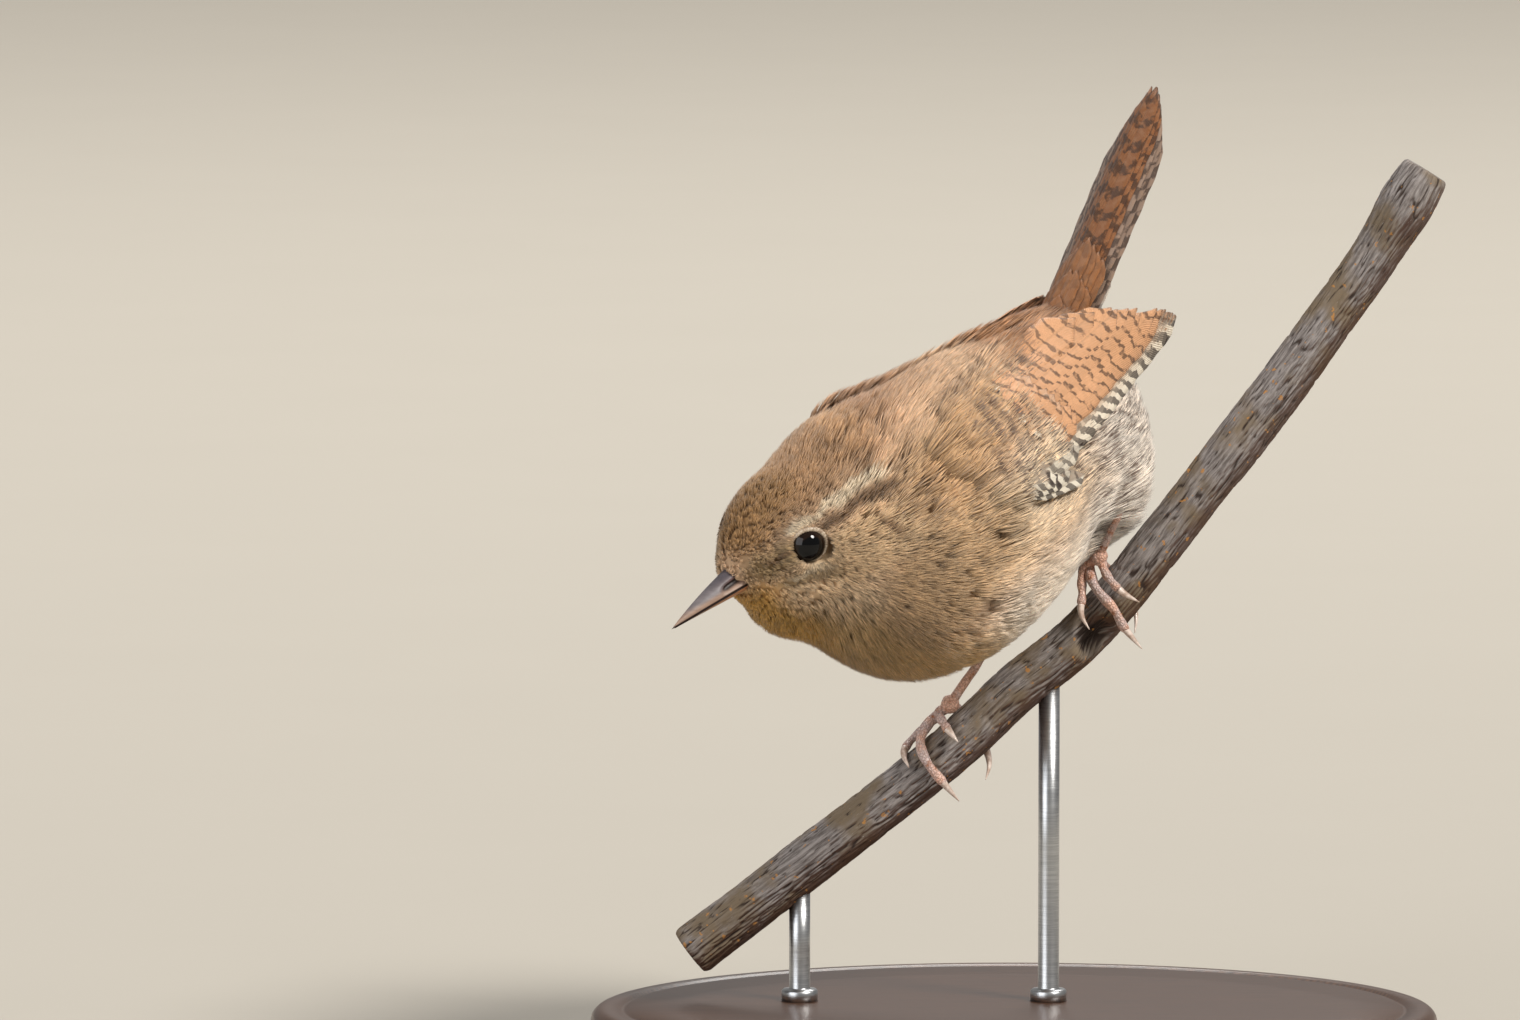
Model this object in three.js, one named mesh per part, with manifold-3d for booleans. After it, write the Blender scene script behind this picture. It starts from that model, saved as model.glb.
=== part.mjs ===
// Eurasian wren, Troglodytes troglodytes, life size, leaning head down with its tail cocked.
// The bird grips a short cut length of twig, held by two rods over an oval base.
// Millimetres, +Z up. The origin is the centre of the base's underside. +X runs along the
// base's long side towards the bird's tail, and the bird turns its left side towards -Y.
import * as THREE from 'three';
import { mergeVertices } from 'three/addons/utils/BufferGeometryUtils.js';
import Module from 'manifold-3d';

const wasm = await Module();
wasm.setup();

// Where the body and the head stand, and how they are turned: yaw from -X towards -Y, pitch
// head down, roll left side down. In both, x is forward, y is left and z is up.
const BODY = { place: [-5.1, 0, 68.2], yaw: 42, pitch: 30, roll: 5 };
const HEAD = { place: [-27.4, -13, 64.25], yaw: 42.5, pitch: 24, roll: 7 };

// The feathered form: ellipsoids by centre and radii in the head's or the body's own axes,
// run together over BLEND millimetres.
const BLEND = 1.5;
const FORMS = [
  { of: 'head', centre: [-0.6, 0, -0.6], radii: [8.2, 6.5, 8.6] },
  { of: 'head', centre: [5.6, 0, -0.7], radii: [4.2, 3.1, 3.2] },
  { of: 'head', centre: [-3.1, 3.2, -2.8], radii: [6.4, 4.8, 4.9] },
  { of: 'head', centre: [-3.1, -3.2, -2.8], radii: [6.4, 4.8, 4.9] },
  { of: 'head', centre: [-3.4, 0, -7.0], radii: [8.4, 5.4, 5.6] },
  { of: 'head', centre: [-10.9, 0, 0.5], radii: [10.3, 8.4, 8.9] },
  { of: 'body', centre: [11.1, 0, -2.2], radii: [14.6, 15.4, 13.1] },
  { of: 'body', centre: [3.4, 0, 1.0], radii: [17.1, 16.1, 16.5] },
  { of: 'body', centre: [-11.0, 0, -2.2], radii: [12.8, 14.2, 12.9] },
  { of: 'body', centre: [-3.6, 0, 6.0], radii: [15.6, 11.0, 9.2] },
  { of: 'body', centre: [-19.2, 0, 3.0], radii: [8.3, 7.4, 7.5] },
];
const SPINE = [['head', 5, 0, -1], ['head', 0, 0, -0.5], ['body', 9, 0, -1],
  ['body', 0, 0, -1], ['body', -10, 0, 0], ['body', -16, 0, 1]];
// How often a ray is halved to find the surface, and how far it looks from the spine.
const HALVINGS = 26;
const FORM_REACH = 45;
const FORM_RINGS = 40;
const FORM_SIDES = 40;
const NECK_FRONT = -9;
const NECK_BACK = 15;

// The flank feathers part round the left shank here.
const LEG_PARTING = { place: [11.0, -0.6, 63.6], depth: 3.2, reach: 3.2 };

const GAP = 0.3;
const EYE = { place: [2.0, 5.0, 0.7], radius: 2.15 };
// The rim of the lids lies this far out from the eye's middle and turns a little to the front.
const LID = { radius: 2.03, thick: 0.38, out: 0.85, turn: -8 };
// A cut runs back from the bill's base along the gape.
const CREASE = { size: [4.2, 1.1, 0.35], place: [6.4, 2.9, -2.0], turn: 14, dip: 10 };
const NOSTRIL = { place: [10.9, 1.5, -0.68], radii: [0.85, 0.3, 0.2] };
const BILL = { base: 7.0, tip: 19.6, gape: -1.3, drop: 0.5, width: 2.1, height: 1.75, depth: 1.2 };

const WING = { wrist: [8.5, 14.2, 6.0], tip: [-32.8, 6.6, 4.2], lean: 34, thick: 1.0, bed: 1.6, core: 20 };
// A ray through the bed starts this far inside it and ends this far outside.
const WING_RAY = [-14, 16];
const WING_BED = { centre: [-21, 2.2, 4.5], radii: [15.5, 6.2, 8.0] };
const TAIL = { root: [-17, 0, 7], cock: 30.5, length: 36.4, root_width: 7.4 };

// A vane's width and thickness at each station between its root and its tip.
const VANE = { stations: [0, 0.02, 0.38, 0.74, 0.93, 1], wide: [0, 0.6, 0.94, 1, 0.66, 0], thick: 0.52 };

// Rows of vanes on a folded wing. Roots and tips go from the first to the last vane of a row,
// along from the wrist and across towards the back. Each row lies on the one before it.
const WING_ROWS = [
  { count: 5, roots: [[8, -1.6], [13, 1.6]], tips: [[41.5, 0.2], [33, 2.9]],
    width: 3.7, high: 0.6, rise: 0.1 },
  { count: 4, roots: [[12.5, 1.4], [13, 7.0]], tips: [[32, 3.0], [30.5, 7.4]],
    width: 4.5, high: 0.8, rise: 0.35 },
  { count: 3, roots: [[11, 7.2], [10.5, 11.0]], tips: [[29.5, 7.6], [24.5, 10.4]],
    width: 4.8, high: 0.9, rise: 0.6 },
  { count: 3, roots: [[3, -1.9], [4.5, -0.6]], tips: [[14, -2.6], [16.5, -0.6]],
    width: 2.7, high: 0.9, rise: 0.3 },
  { count: 5, roots: [[7, 0.2], [6.5, 9.4]], tips: [[18, 0.9], [16, 10.6]],
    width: 3.7, high: 0.9, rise: 0.55 },
  { count: 4, roots: [[2.5, 0.4], [2.5, 8.6]], tips: [[11, 1.4], [10, 9.6]],
    width: 3.8, high: 0.9, rise: 0.55 },
];

// Pairs of tail vanes from the middle outwards: across the root and tip, how far the tip falls
// short, and how far it lies below the middle pair.
const TAIL_VANES = { pairs: 5, root_step: 0.6, tip_step: 0.62, short: 0.9, drop: 0.32, width: 3.3 };
// The fleshy stump in the tail's root: where it starts, and its height either side of low.
const STUMP = { from: -2, length: 15, low: -0.6, high: 2.6 };
const TAIL_COVERTS = { rows: [[3, 15, 1.4], [2, 10, 2.2]], width: 4.2, below: 9 };

const TWIG = { radius: 3.05, y: 5, points: [[-38.3, 12.8], [-18.9, 27.7], [-5.3, 38.8], [0.2, 44.1],
  [8.6, 51.1], [23, 69], [39.3, 91], [45.8, 101.2], [48.5, 105.6]] };
const KNOT = { at: 0.965, swell: 0.9, reach: 0.03 };
const HOLLOW = { place: [9.6, 2.0, 50.6], radii: [2.2, 1.6, 2.6] };

// Each foot stands on the twig at a point of its centreline. Along is up the twig and round is
// the angle round it in degrees: 0 on its upper left side, 90 towards -Y, 180 lower right.
const FEET = {
  left: {
    stand: [8.6, 51.1], slope: 51, hub: [7.8, 22, 5.0], shank: [[12.2, -0.7, 66.0], [12.6, 1.6, 70.4]],
    inner: [[5.7, 12, 5.2], [3.1, 38, 4.2], [1.4, 60, 4.1], [0.5, 92, 4.3]],
    middle: [[6.6, 10, 4.9], [5.0, 43, 4.15], [4.3, 97, 4.1], [3.4, 128, 4.4], [2.6, 152, 7.6]],
    outer: [[8.2, 14, 4.9], [7.0, 44, 4.2], [6.5, 84, 4.1], [6.9, 125, 4.7]],
    hind: [[7.2, -40, 4.5], [6.2, -95, 4.1], [5.2, -140, 4.3], [2.9, -172, 5.0]],
  },
  right: {
    stand: [-5, 38.4], slope: 44, hub: [0.9, 8, 4.7], shank: [[-4.2, 3.4, 47.6], [0.6, 1.6, 59]],
    inner: [[-0.6, 8, 4.9], [-1.0, 28, 4.4], [-1.1, 45, 4.15], [-1.2, 78, 4.3]],
    middle: [[-2.2, 4, 4.8], [-4.4, 22, 4.5], [-5.5, 60, 4.1], [-5.8, 104, 4.1], [-6.1, 148, 5.6]],
    outer: [[-2.8, -16, 4.7], [-5.6, -12, 4.7], [-7.0, 14, 4.4], [-7.6, 56, 4.7]],
    hind: [[0.9, -45, 4.4], [0.6, -100, 4.1], [-0.6, -150, 4.3], [-2.6, -186, 5.0]],
  },
};
const TOES = { inner: 0.58, middle: 0.62, outer: 0.56, hind: 0.66 };
const SHANK_THICK = 1.0;
const CLAW_THICK = 0.48;

const BASE = { length: 100, width: 76, thick: 7, edge: 1.6 };
const RODS = { radius: 1.25, x: [-25.3, 4.2] };

const COLOURS = {
  crown: 0x8a6a48, mantle: 0x94704a, breast: 0xb29a78, wing: 0xa5703f, tail: 0x96602f,
  horn: 0x55534f, lower_horn: 0x8f8276, eye: 0x0d0b0a, leg: 0xb98a72, claw: 0xc9b6a2,
  bark: 0x8b857b, stand: 0x2e2620, steel: 0xb9bbbd,
};

const paint = (colour, roughness, metalness = 0) =>
  new THREE.MeshStandardMaterial({ color: colour, roughness, metalness });

const radians = THREE.MathUtils.degToRad;
const smooth = (value) => THREE.MathUtils.smoothstep(value, 0, 1);

// The turned axes of the head or body as a matrix: forward, left and up are its columns.
function axes({ place, yaw, pitch, roll }) {
  const [y, p, r] = [yaw, pitch, roll].map(radians);
  const forward = new THREE.Vector3(-Math.cos(p) * Math.cos(y), -Math.cos(p) * Math.sin(y), -Math.sin(p));
  const level_up = new THREE.Vector3(-Math.sin(p) * Math.cos(y), -Math.sin(p) * Math.sin(y), Math.cos(p));
  const level_left = new THREE.Vector3().crossVectors(level_up, forward);
  const left = level_left.clone().multiplyScalar(Math.cos(r)).addScaledVector(level_up, -Math.sin(r));
  const up = level_up.clone().multiplyScalar(Math.cos(r)).addScaledVector(level_left, Math.sin(r));
  return new THREE.Matrix4().makeBasis(forward, left, up).setPosition(...place);
}

const AXES = { head: axes(HEAD), body: axes(BODY) };
const INVERSE = { head: AXES.head.clone().invert(), body: AXES.body.clone().invert() };
const at = (frame, x, y, z) => new THREE.Vector3(x, y, z).applyMatrix4(AXES[frame]);

// About the distance from a point to an ellipsoid, negative inside.
function ellipsoid(point, { centre, radii }) {
  const [x, y, z] = [point.x - centre[0], point.y - centre[1], point.z - centre[2]];
  const near = Math.hypot(x / radii[0], y / radii[1], z / radii[2]);
  const steep = Math.hypot(x / radii[0] ** 2, y / radii[1] ** 2, z / radii[2] ** 2) + 1e-9;
  return (near * (near - 1)) / steep;
}

// How far the torso is pressed in beneath a folded wing, so that wing and flank run on evenly.
function wing_bed(point) {
  const spread = smooth((7 - point.x) / 8) * smooth((point.x + 31) / 5);
  return WING.bed * spread * smooth((Math.abs(point.y) - 2) / 4) * smooth((point.z + 1) / 4);
}

function leg_parting(point) {
  const [x, y, z] = LEG_PARTING.place;
  const away = Math.hypot(point.x - x, point.y - y, point.z - z) / LEG_PARTING.reach;
  return LEG_PARTING.depth * Math.exp(-away * away);
}

// The smooth union of the forms, as a distance from the coat's surface.
function coat(point, extra = null) {
  const local = {
    head: point.clone().applyMatrix4(INVERSE.head),
    body: point.clone().applyMatrix4(INVERSE.body),
  };
  let sum = 0;
  for (const form of FORMS) {
    sum += Math.exp(-ellipsoid(local[form.of], form) / BLEND);
  }
  if (extra) {
    sum += Math.exp(-ellipsoid(local.body, extra) / BLEND);
  }
  return -BLEND * Math.log(sum) + wing_bed(local.body) + leg_parting(point);
}

// The distance along a ray at which the given function turns from below the level to above it.
function reach(origin, direction, level, shape, near, far) {
  const probe = new THREE.Vector3();
  for (let step = 0; step < HALVINGS; step += 1) {
    const middle = (near + far) / 2;
    probe.copy(origin).addScaledVector(direction, middle);
    if (shape(probe) < level) {
      near = middle;
    } else {
      far = middle;
    }
  }
  return probe.copy(origin).addScaledVector(direction, far);
}

// A closed geometry from a sphere's rings: place(ring, turn) gives each vertex its point, and
// ring 0 and the last ring are each one point.
function mould(sides, rings, place) {
  const geometry = new THREE.SphereGeometry(1, sides, rings);
  const position = geometry.attributes.position;
  for (let index = 0; index < position.count; index += 1) {
    const ring = Math.floor(index / (sides + 1));
    const side = index % (sides + 1);
    const turn = ring === 0 || ring === rings ? 0 : (side % sides) / sides;
    position.setXYZ(index, ...place(ring, turn * 2 * Math.PI).toArray());
  }
  return closed(geometry);
}

// Shared vertices merged, and the faces turned outwards.
function closed(geometry) {
  geometry.deleteAttribute('normal');
  geometry.deleteAttribute('uv');
  const merged = mergeVertices(geometry, 1e-5);
  const { array } = merged.attributes.position;
  const index = Array.from(merged.index.array);
  const corner = (k) => new THREE.Vector3().fromArray(array, 3 * index[k]);
  let volume = 0;
  for (let k = 0; k < index.length; k += 3) {
    volume += corner(k).dot(corner(k + 1).cross(corner(k + 2)));
  }
  merged.setIndex(volume < 0 ? index.reverse() : index);
  return merged;
}

const solid = (geometry) => new wasm.Manifold(new wasm.Mesh({
  numProp: 3,
  vertProperties: new Float32Array(geometry.attributes.position.array),
  triVerts: new Uint32Array(geometry.index.array),
}));

const largest = (body) => body.decompose().reduce((a, b) => (b.volume() > a.volume() ? b : a));
const joined = (bodies) => bodies.reduce((a, b) => a.add(b));

function shell(body) {
  const mesh = largest(body).getMesh();
  const geometry = new THREE.BufferGeometry();
  geometry.setAttribute('position', new THREE.BufferAttribute(new Float32Array(mesh.vertProperties), 3));
  geometry.setIndex(Array.from(mesh.triVerts));
  return geometry;
}

// A round bar along a curve through the points, with its radius a function of the way along.
function bar(points, radius, sides, steps) {
  const curve = new THREE.CatmullRomCurve3(points);
  const frames = curve.computeFrenetFrames(steps);
  return solid(mould(sides, steps + 2, (ring, turn) => {
    const step = THREE.MathUtils.clamp(ring - 1, 0, steps);
    const point = curve.getPointAt(step / steps);
    if (ring === 0 || ring === steps + 2) return point;
    const size = radius(step / steps, turn);
    return point.addScaledVector(frames.normals[step], size * Math.cos(turn))
      .addScaledVector(frames.binormals[step], size * Math.sin(turn));
  }));
}

// The head's end of the spine looks forward, the other end back, and the rays fan in between.
function form_solid(level) {
  const knots = SPINE.map(([frame, ...xyz]) => at(frame, ...xyz));
  const spine = new THREE.CatmullRomCurve3(knots);
  const column = (frame, k) => new THREE.Vector3().setFromMatrixColumn(AXES[frame], k);
  return solid(mould(FORM_SIDES, FORM_RINGS, (ring, turn) => {
    const way = ring / FORM_RINGS;
    const blend = smooth((way - 0.15) / 0.4);
    const ahead = column('head', 0).lerp(column('body', 0), blend).normalize();
    const up = column('head', 2).lerp(column('body', 2), blend);
    up.addScaledVector(ahead, -ahead.dot(up)).normalize();
    const left = new THREE.Vector3().crossVectors(up, ahead);
    const fan = Math.PI * (0.25 * (1 - Math.cos(Math.PI * way)) + 0.5 * way);
    const ray = ahead.multiplyScalar(Math.cos(fan))
      .addScaledVector(up, Math.sin(fan) * Math.cos(turn))
      .addScaledVector(left, Math.sin(fan) * Math.sin(turn));
    return reach(spine.getPointAt(way), ray, level, coat, 0, FORM_REACH);
  }));
}

// A long block across one frame from x = back to x = front, to part the form with.
function slab(frame, back, front) {
  const width = 120;
  const box = new THREE.BoxGeometry(front - back, width, width);
  box.translate((front + back) / 2, 0, 0).applyMatrix4(AXES[frame]);
  return solid(closed(box));
}

function ball(frame, place, radii, around = 18, down = 12) {
  const sphere = new THREE.SphereGeometry(1, around, down);
  sphere.scale(...radii).translate(...place).applyMatrix4(AXES[frame]);
  return solid(closed(sphere));
}

// The head's eyelid rims, eye sockets and the crease of the gape.
function head_solid(form) {
  let head = form.intersect(slab('head', NECK_FRONT + GAP / 2, 40));
  for (const side of [1, -1]) {
    const [x, y, z] = EYE.place;
    const rim = new THREE.TorusGeometry(LID.radius, LID.thick, 6, 24);
    rim.rotateX(Math.PI / 2).rotateZ(side * radians(LID.turn)).translate(x, side * (y + LID.out), z);
    head = head.add(solid(closed(rim.applyMatrix4(AXES.head))));
    head = head.subtract(ball('head', [x, side * y, z], Array(3).fill(EYE.radius + GAP), 18, 12));
    const crease = new THREE.BoxGeometry(...CREASE.size);
    const [forward, out, up] = CREASE.place;
    crease.rotateZ(side * radians(CREASE.turn)).rotateY(radians(CREASE.dip));
    crease.translate(forward, side * out, up);
    head = head.subtract(solid(closed(crease.applyMatrix4(AXES.head))));
  }
  return head;
}

// One half of the bill: a taper from base to tip, round on one side and flat at the mouth line.
function bill_half(upward, clear) {
  const { base, tip, gape, drop, width, height, depth } = BILL;
  const steps = 10;
  const sides = 12;
  const half = solid(mould(sides, steps + 1, (ring, turn) => {
    const way = THREE.MathUtils.clamp(ring - 1, 0, steps) / steps;
    const x = base + (tip - base - (upward ? 0 : 0.5)) * way;
    const line = gape - drop * way * way + (upward ? GAP / 2 : -GAP / 2);
    if (ring === 0) return at('head', x, 0, line + (upward ? 0.6 : -0.4));
    const taper = Math.max(0, 1 - way ** 1.25);
    const tall = (upward ? height : depth) * taper ** (upward ? 0.8 : 1) * (1 - 0.08 * way);
    const round = Math.max(0, Math.sin(turn));
    return at('head', x, width * taper * Math.cos(turn), line + (upward ? tall : -tall) * round);
  }));
  let bill = half.subtract(clear);
  if (upward) {
    for (const side of [1, -1]) {
      const [x, y, z] = NOSTRIL.place;
      bill = bill.subtract(ball('head', [x, side * y, z], NOSTRIL.radii, 8, 5));
    }
  }
  return bill;
}

// A point over a folded wing's bed: along from the wrist to the tip, across upwards over the
// back, and high above the flank.
function over_wing(side, along, across, high) {
  const [wrist, tip] = [WING.wrist, WING.tip].map(([x, y, z]) => new THREE.Vector3(x, side * y, z));
  const run = tip.clone().sub(wrist).normalize();
  const lean = radians(WING.lean);
  const out = new THREE.Vector3(0, side * Math.cos(lean), Math.sin(lean));
  out.addScaledVector(run, -run.dot(out)).normalize();
  const over = new THREE.Vector3().crossVectors(out, run).multiplyScalar(side);
  const start = wrist.addScaledVector(run, along).addScaledVector(over, across).applyMatrix4(AXES.body);
  const ray = out.transformDirection(AXES.body);
  const [x, y, z] = WING_BED.centre;
  const bed = { centre: [x, side * y, z], radii: WING_BED.radii };
  return reach(start, ray, high, (point) => coat(point, bed), ...WING_RAY);
}

// One feather vane: a flat closed blade from root to tip, widest near its rounded end. place
// takes a point along and across the surface it grows on, and its height over it.
function vane(place, root, tip, width, high, rise, tilt) {
  const run = Math.hypot(tip[0] - root[0], tip[1] - root[1]);
  const [cos, sin] = [(tip[0] - root[0]) / run, (tip[1] - root[1]) / run];
  return solid(mould(6, VANE.stations.length - 1, (ring, turn) => {
    const way = VANE.stations[ring];
    const wide = (width / 2) * VANE.wide[ring] * Math.cos(turn);
    const thick = ring === 0 || VANE.wide[ring] === 0 ? 0 : (VANE.thick / 2) * Math.sin(turn) * 1.15;
    const level = high + rise * way + (tilt * wide) / width + thick;
    return place(root[0] + run * way * cos - wide * sin, root[1] + run * way * sin + wide * cos, level);
  }));
}

const between = (first, last, share) => first.map((value, k) => THREE.MathUtils.lerp(value, last[k], share));

// The arm's flat core with the rows of vanes sunk into it.
function wing_solid(side) {
  const rings = 10;
  const place = (along, across, high) => over_wing(side, along, across, high);
  const core = solid(mould(14, rings, (ring, turn) => {
    const way = ring / rings;
    const along = WING.core * way;
    const round = Math.sin(Math.PI * way) ** 0.6;
    const across = 4.4 + (ring % rings === 0 ? 0 : 1) * (0.3 + 6.6 * round * Math.cos(turn));
    return place(along, across, GAP + (WING.thick / 2) * (1 + round * Math.sin(turn)));
  }));
  const vanes = WING_ROWS.flatMap(({ count, roots, tips, width, high, rise }) => Array.from({ length: count },
    (_, k) => vane(place, between(...roots, k / (count - 1)), between(...tips, k / (count - 1)),
      width, high, rise, 0.35)));
  return joined([core, ...vanes]);
}

// The tail's vanes in pairs, the middle pair on top, with its coverts over and under the root,
// all cocked up from the rump.
function tail_solid(clear) {
  const cock = radians(TAIL.cock);
  const run = new THREE.Vector3(-Math.cos(cock), 0, Math.sin(cock));
  const out = new THREE.Vector3(Math.sin(cock), 0, Math.cos(cock));
  const place = (along, across, high) => new THREE.Vector3(...TAIL.root).addScaledVector(run, along)
    .addScaledVector(out, high).add(new THREE.Vector3(0, across, 0)).applyMatrix4(AXES.body);
  const stump = solid(mould(14, 8, (ring, turn) => {
    const way = ring / 8;
    const size = Math.sin(Math.PI * Math.min(1, 0.2 + 0.8 * way)) ** 0.7 * (ring % 8 === 0 ? 0 : 1);
    const across = (TAIL.root_width / 2) * size * Math.cos(turn);
    return place(STUMP.from + STUMP.length * way, across, STUMP.low + STUMP.high * size * Math.sin(turn));
  }));
  const vanes = [];
  for (let pair = 0; pair < TAIL_VANES.pairs; pair += 1) {
    for (const side of [1, -1]) {
      const root = [2, side * (0.5 + TAIL_VANES.root_step * pair) - 0.4];
      const out_to = side * (0.6 + TAIL_VANES.tip_step * pair) - 1.0;
      const tip = [TAIL.length - TAIL_VANES.short * pair ** 1.3, out_to];
      const high = 0.7 - TAIL_VANES.drop * pair - (side < 0 ? 0.12 : 0);
      vanes.push(vane(place, root, tip, TAIL_VANES.width, high, 0, side * -0.3));
    }
  }
  for (const [count, length, high] of TAIL_COVERTS.rows) {
    for (let k = 0; k < count; k += 1) {
      const side = (2 * k) / (count - 1) - 1;
      const reachout = [length - Math.abs(side), side * 2.6];
      vanes.push(vane(place, [0, side * 1.4], reachout, TAIL_COVERTS.width, high, -0.4 * high, side * -0.8));
    }
  }
  for (const side of [1, -1]) {
    vanes.push(vane(place, [1, side], [TAIL_COVERTS.below + 2, side * 2], 4.4, -2.2, 0.2, side * 0.5));
  }
  return joined([stump, ...vanes]).subtract(clear);
}

// The twig's centreline, and a point beside it for a foot's toes.
const twig_points = TWIG.points.map(([x, z]) => new THREE.Vector3(x, TWIG.y, z));

function twig_radius(way, extra = 0) {
  const knot = Math.exp(-(((way - KNOT.at) / KNOT.reach) ** 2));
  return TWIG.radius - 0.2 * way + KNOT.swell * knot + extra;
}

function perch_solid() {
  const twig = bar(twig_points, (way) => twig_radius(way), 16, 32);
  const hollow = new THREE.SphereGeometry(1, 12, 8);
  hollow.scale(...HOLLOW.radii).translate(...HOLLOW.place);
  return twig.subtract(solid(closed(hollow)));
}

function beside_twig({ stand, slope }, [along, round, out]) {
  const [rise, turn] = [radians(slope), radians(round)];
  const reachout = -out * Math.cos(turn);
  return new THREE.Vector3(
    stand[0] + along * Math.cos(rise) + reachout * Math.sin(rise),
    TWIG.y - out * Math.sin(turn),
    stand[1] + along * Math.sin(rise) - reachout * Math.cos(rise),
  );
}

// A foot is its pad and four toes in one piece. Each claw runs on from its toe's last but one
// point to the last, and the toe stops short of it.
function foot_pieces(foot, clear) {
  const hub = beside_twig(foot, foot.hub);
  const toes = [];
  const claws = {};
  for (const [name, thick] of Object.entries(TOES)) {
    const points = foot[name].map((place) => beside_twig(foot, place));
    const line = new THREE.CatmullRomCurve3([hub, ...points]);
    const share = name === 'middle' ? 0.76 : 0.66;
    const cut = (from, to, count) => Array.from({ length: count },
      (_, k) => line.getPointAt(from + ((to - from) * k) / (count - 1)));
    const leave = (GAP * 1.1) / line.getLength();
    toes.push(bar(cut(0, share, 7), (way) => thick * (1.05 - 0.2 * way), 6, 7));
    claws[name] = bar(cut(share + leave, 1, 6), (way) => CLAW_THICK * thick ** 0.2 * (1 - 0.78 * way), 6, 6);
  }
  const pad = new THREE.SphereGeometry(1, 10, 7);
  pad.scale(1.15, 1.05, 1.0).translate(...hub.toArray());
  return { hub, foot: joined([solid(closed(pad)), ...toes]).subtract(clear), claws };
}

function leg_solid(foot, hub, clear) {
  const [knee, inside] = foot.shank.map((place) => new THREE.Vector3(...place));
  const down = knee.clone().sub(hub).normalize();
  const start = hub.clone().addScaledVector(down, 1.15 + GAP);
  const thick = (way) => (SHANK_THICK / 2) * (1.15 - 0.3 * Math.sin(Math.PI * way)) + 0.12 * way;
  return bar([start, start.clone().lerp(knee, 0.5), knee, inside], thick, 10, 10).subtract(clear);
}

function base_geometry() {
  const { length, thick, edge } = BASE;
  const radius = length / 2;
  const rim = Array.from({ length: 4 }, (_, k) => {
    const turn = (k / 3) * (Math.PI / 2);
    return new THREE.Vector2(radius - edge + edge * Math.cos(turn), thick - edge + edge * Math.sin(turn));
  });
  const bottom = [new THREE.Vector2(0, 0), new THREE.Vector2(radius, 0)];
  const profile = [...bottom, ...rim, new THREE.Vector2(0, thick)];
  const base = new THREE.LatheGeometry(profile, 48);
  base.rotateX(Math.PI / 2).scale(1, BASE.width / length, 1);
  return closed(base);
}

function rod_solid(x, twig_clear) {
  const foot = BASE.thick + GAP;
  const rod = new THREE.CylinderGeometry(RODS.radius, RODS.radius, 60, 16);
  rod.rotateX(Math.PI / 2).translate(x, TWIG.y, foot + 30);
  const cut = solid(closed(rod)).subtract(twig_clear);
  return cut.decompose().reduce((a, b) => (b.boundingBox().min[2] < a.boundingBox().min[2] ? b : a));
}

const model = new THREE.Group();
const bird = new THREE.Group();
const stand = new THREE.Group();
model.add(bird, stand);

function node(group, name, geometry, material) {
  const mesh = new THREE.Mesh(geometry, material);
  mesh.name = name;
  group.add(mesh);
}

const form = form_solid(0);
const clear = form_solid(GAP);

node(bird, 'head', shell(head_solid(form)), paint(COLOURS.crown, 0.85));
const neck = form.intersect(slab('head', -40, NECK_FRONT - GAP / 2))
  .intersect(slab('body', NECK_BACK + GAP / 2, 60));
node(bird, 'neck', shell(neck), paint(COLOURS.mantle, 0.85));
node(bird, 'torso', shell(form.intersect(slab('body', -60, NECK_BACK - GAP / 2))
  .intersect(slab('head', -100, NECK_FRONT - GAP / 2))), paint(COLOURS.breast, 0.85));
node(bird, 'bill_upper', shell(bill_half(true, clear)), paint(COLOURS.horn, 0.4));
node(bird, 'bill_lower', shell(bill_half(false, clear)), paint(COLOURS.lower_horn, 0.45));
node(bird, 'tail', shell(tail_solid(clear)), paint(COLOURS.tail, 0.8));

for (const [name, side] of [['left', 1], ['right', -1]]) {
  const [x, y, z] = EYE.place;
  node(bird, `eye_${name}`, shell(ball('head', [x, side * y, z], Array(3).fill(EYE.radius), 16, 12)),
    paint(COLOURS.eye, 0.05));
  node(bird, `wing_${name}`, shell(wing_solid(side)), paint(COLOURS.wing, 0.8));
  const pieces = foot_pieces(FEET[name], clear);
  node(bird, `leg_${name}`, shell(leg_solid(FEET[name], pieces.hub, clear)), paint(COLOURS.leg, 0.5));
  node(bird, `foot_${name}`, shell(pieces.foot), paint(COLOURS.leg, 0.5));
  for (const [toe, claw] of Object.entries(pieces.claws)) {
    node(bird, `claw_${name}_${toe}`, shell(claw), paint(COLOURS.claw, 0.4));
  }
}

node(stand, 'perch', shell(perch_solid()), paint(COLOURS.bark, 0.9));
node(stand, 'stand_base', base_geometry(), paint(COLOURS.stand, 0.45));
const twig_clear = bar(twig_points, (way) => twig_radius(way, GAP), 16, 32);
RODS.x.forEach((x, index) => {
  node(stand, `stand_rod_${index + 1}`, shell(rod_solid(x, twig_clear)), paint(COLOURS.steel, 0.3, 1));
});

export default model;
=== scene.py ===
"""A Eurasian wren, life size, leaning head down on a cut twig with its tail cocked.

The solids of the frame give every place. This file puts a feathered skin, barbed contour
feathers, flight and tail feathers, horn, scutes, claws, bark and the display stand over them.
Shapes are worked out in millimetres and put into the meshes in metres.
"""

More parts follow.
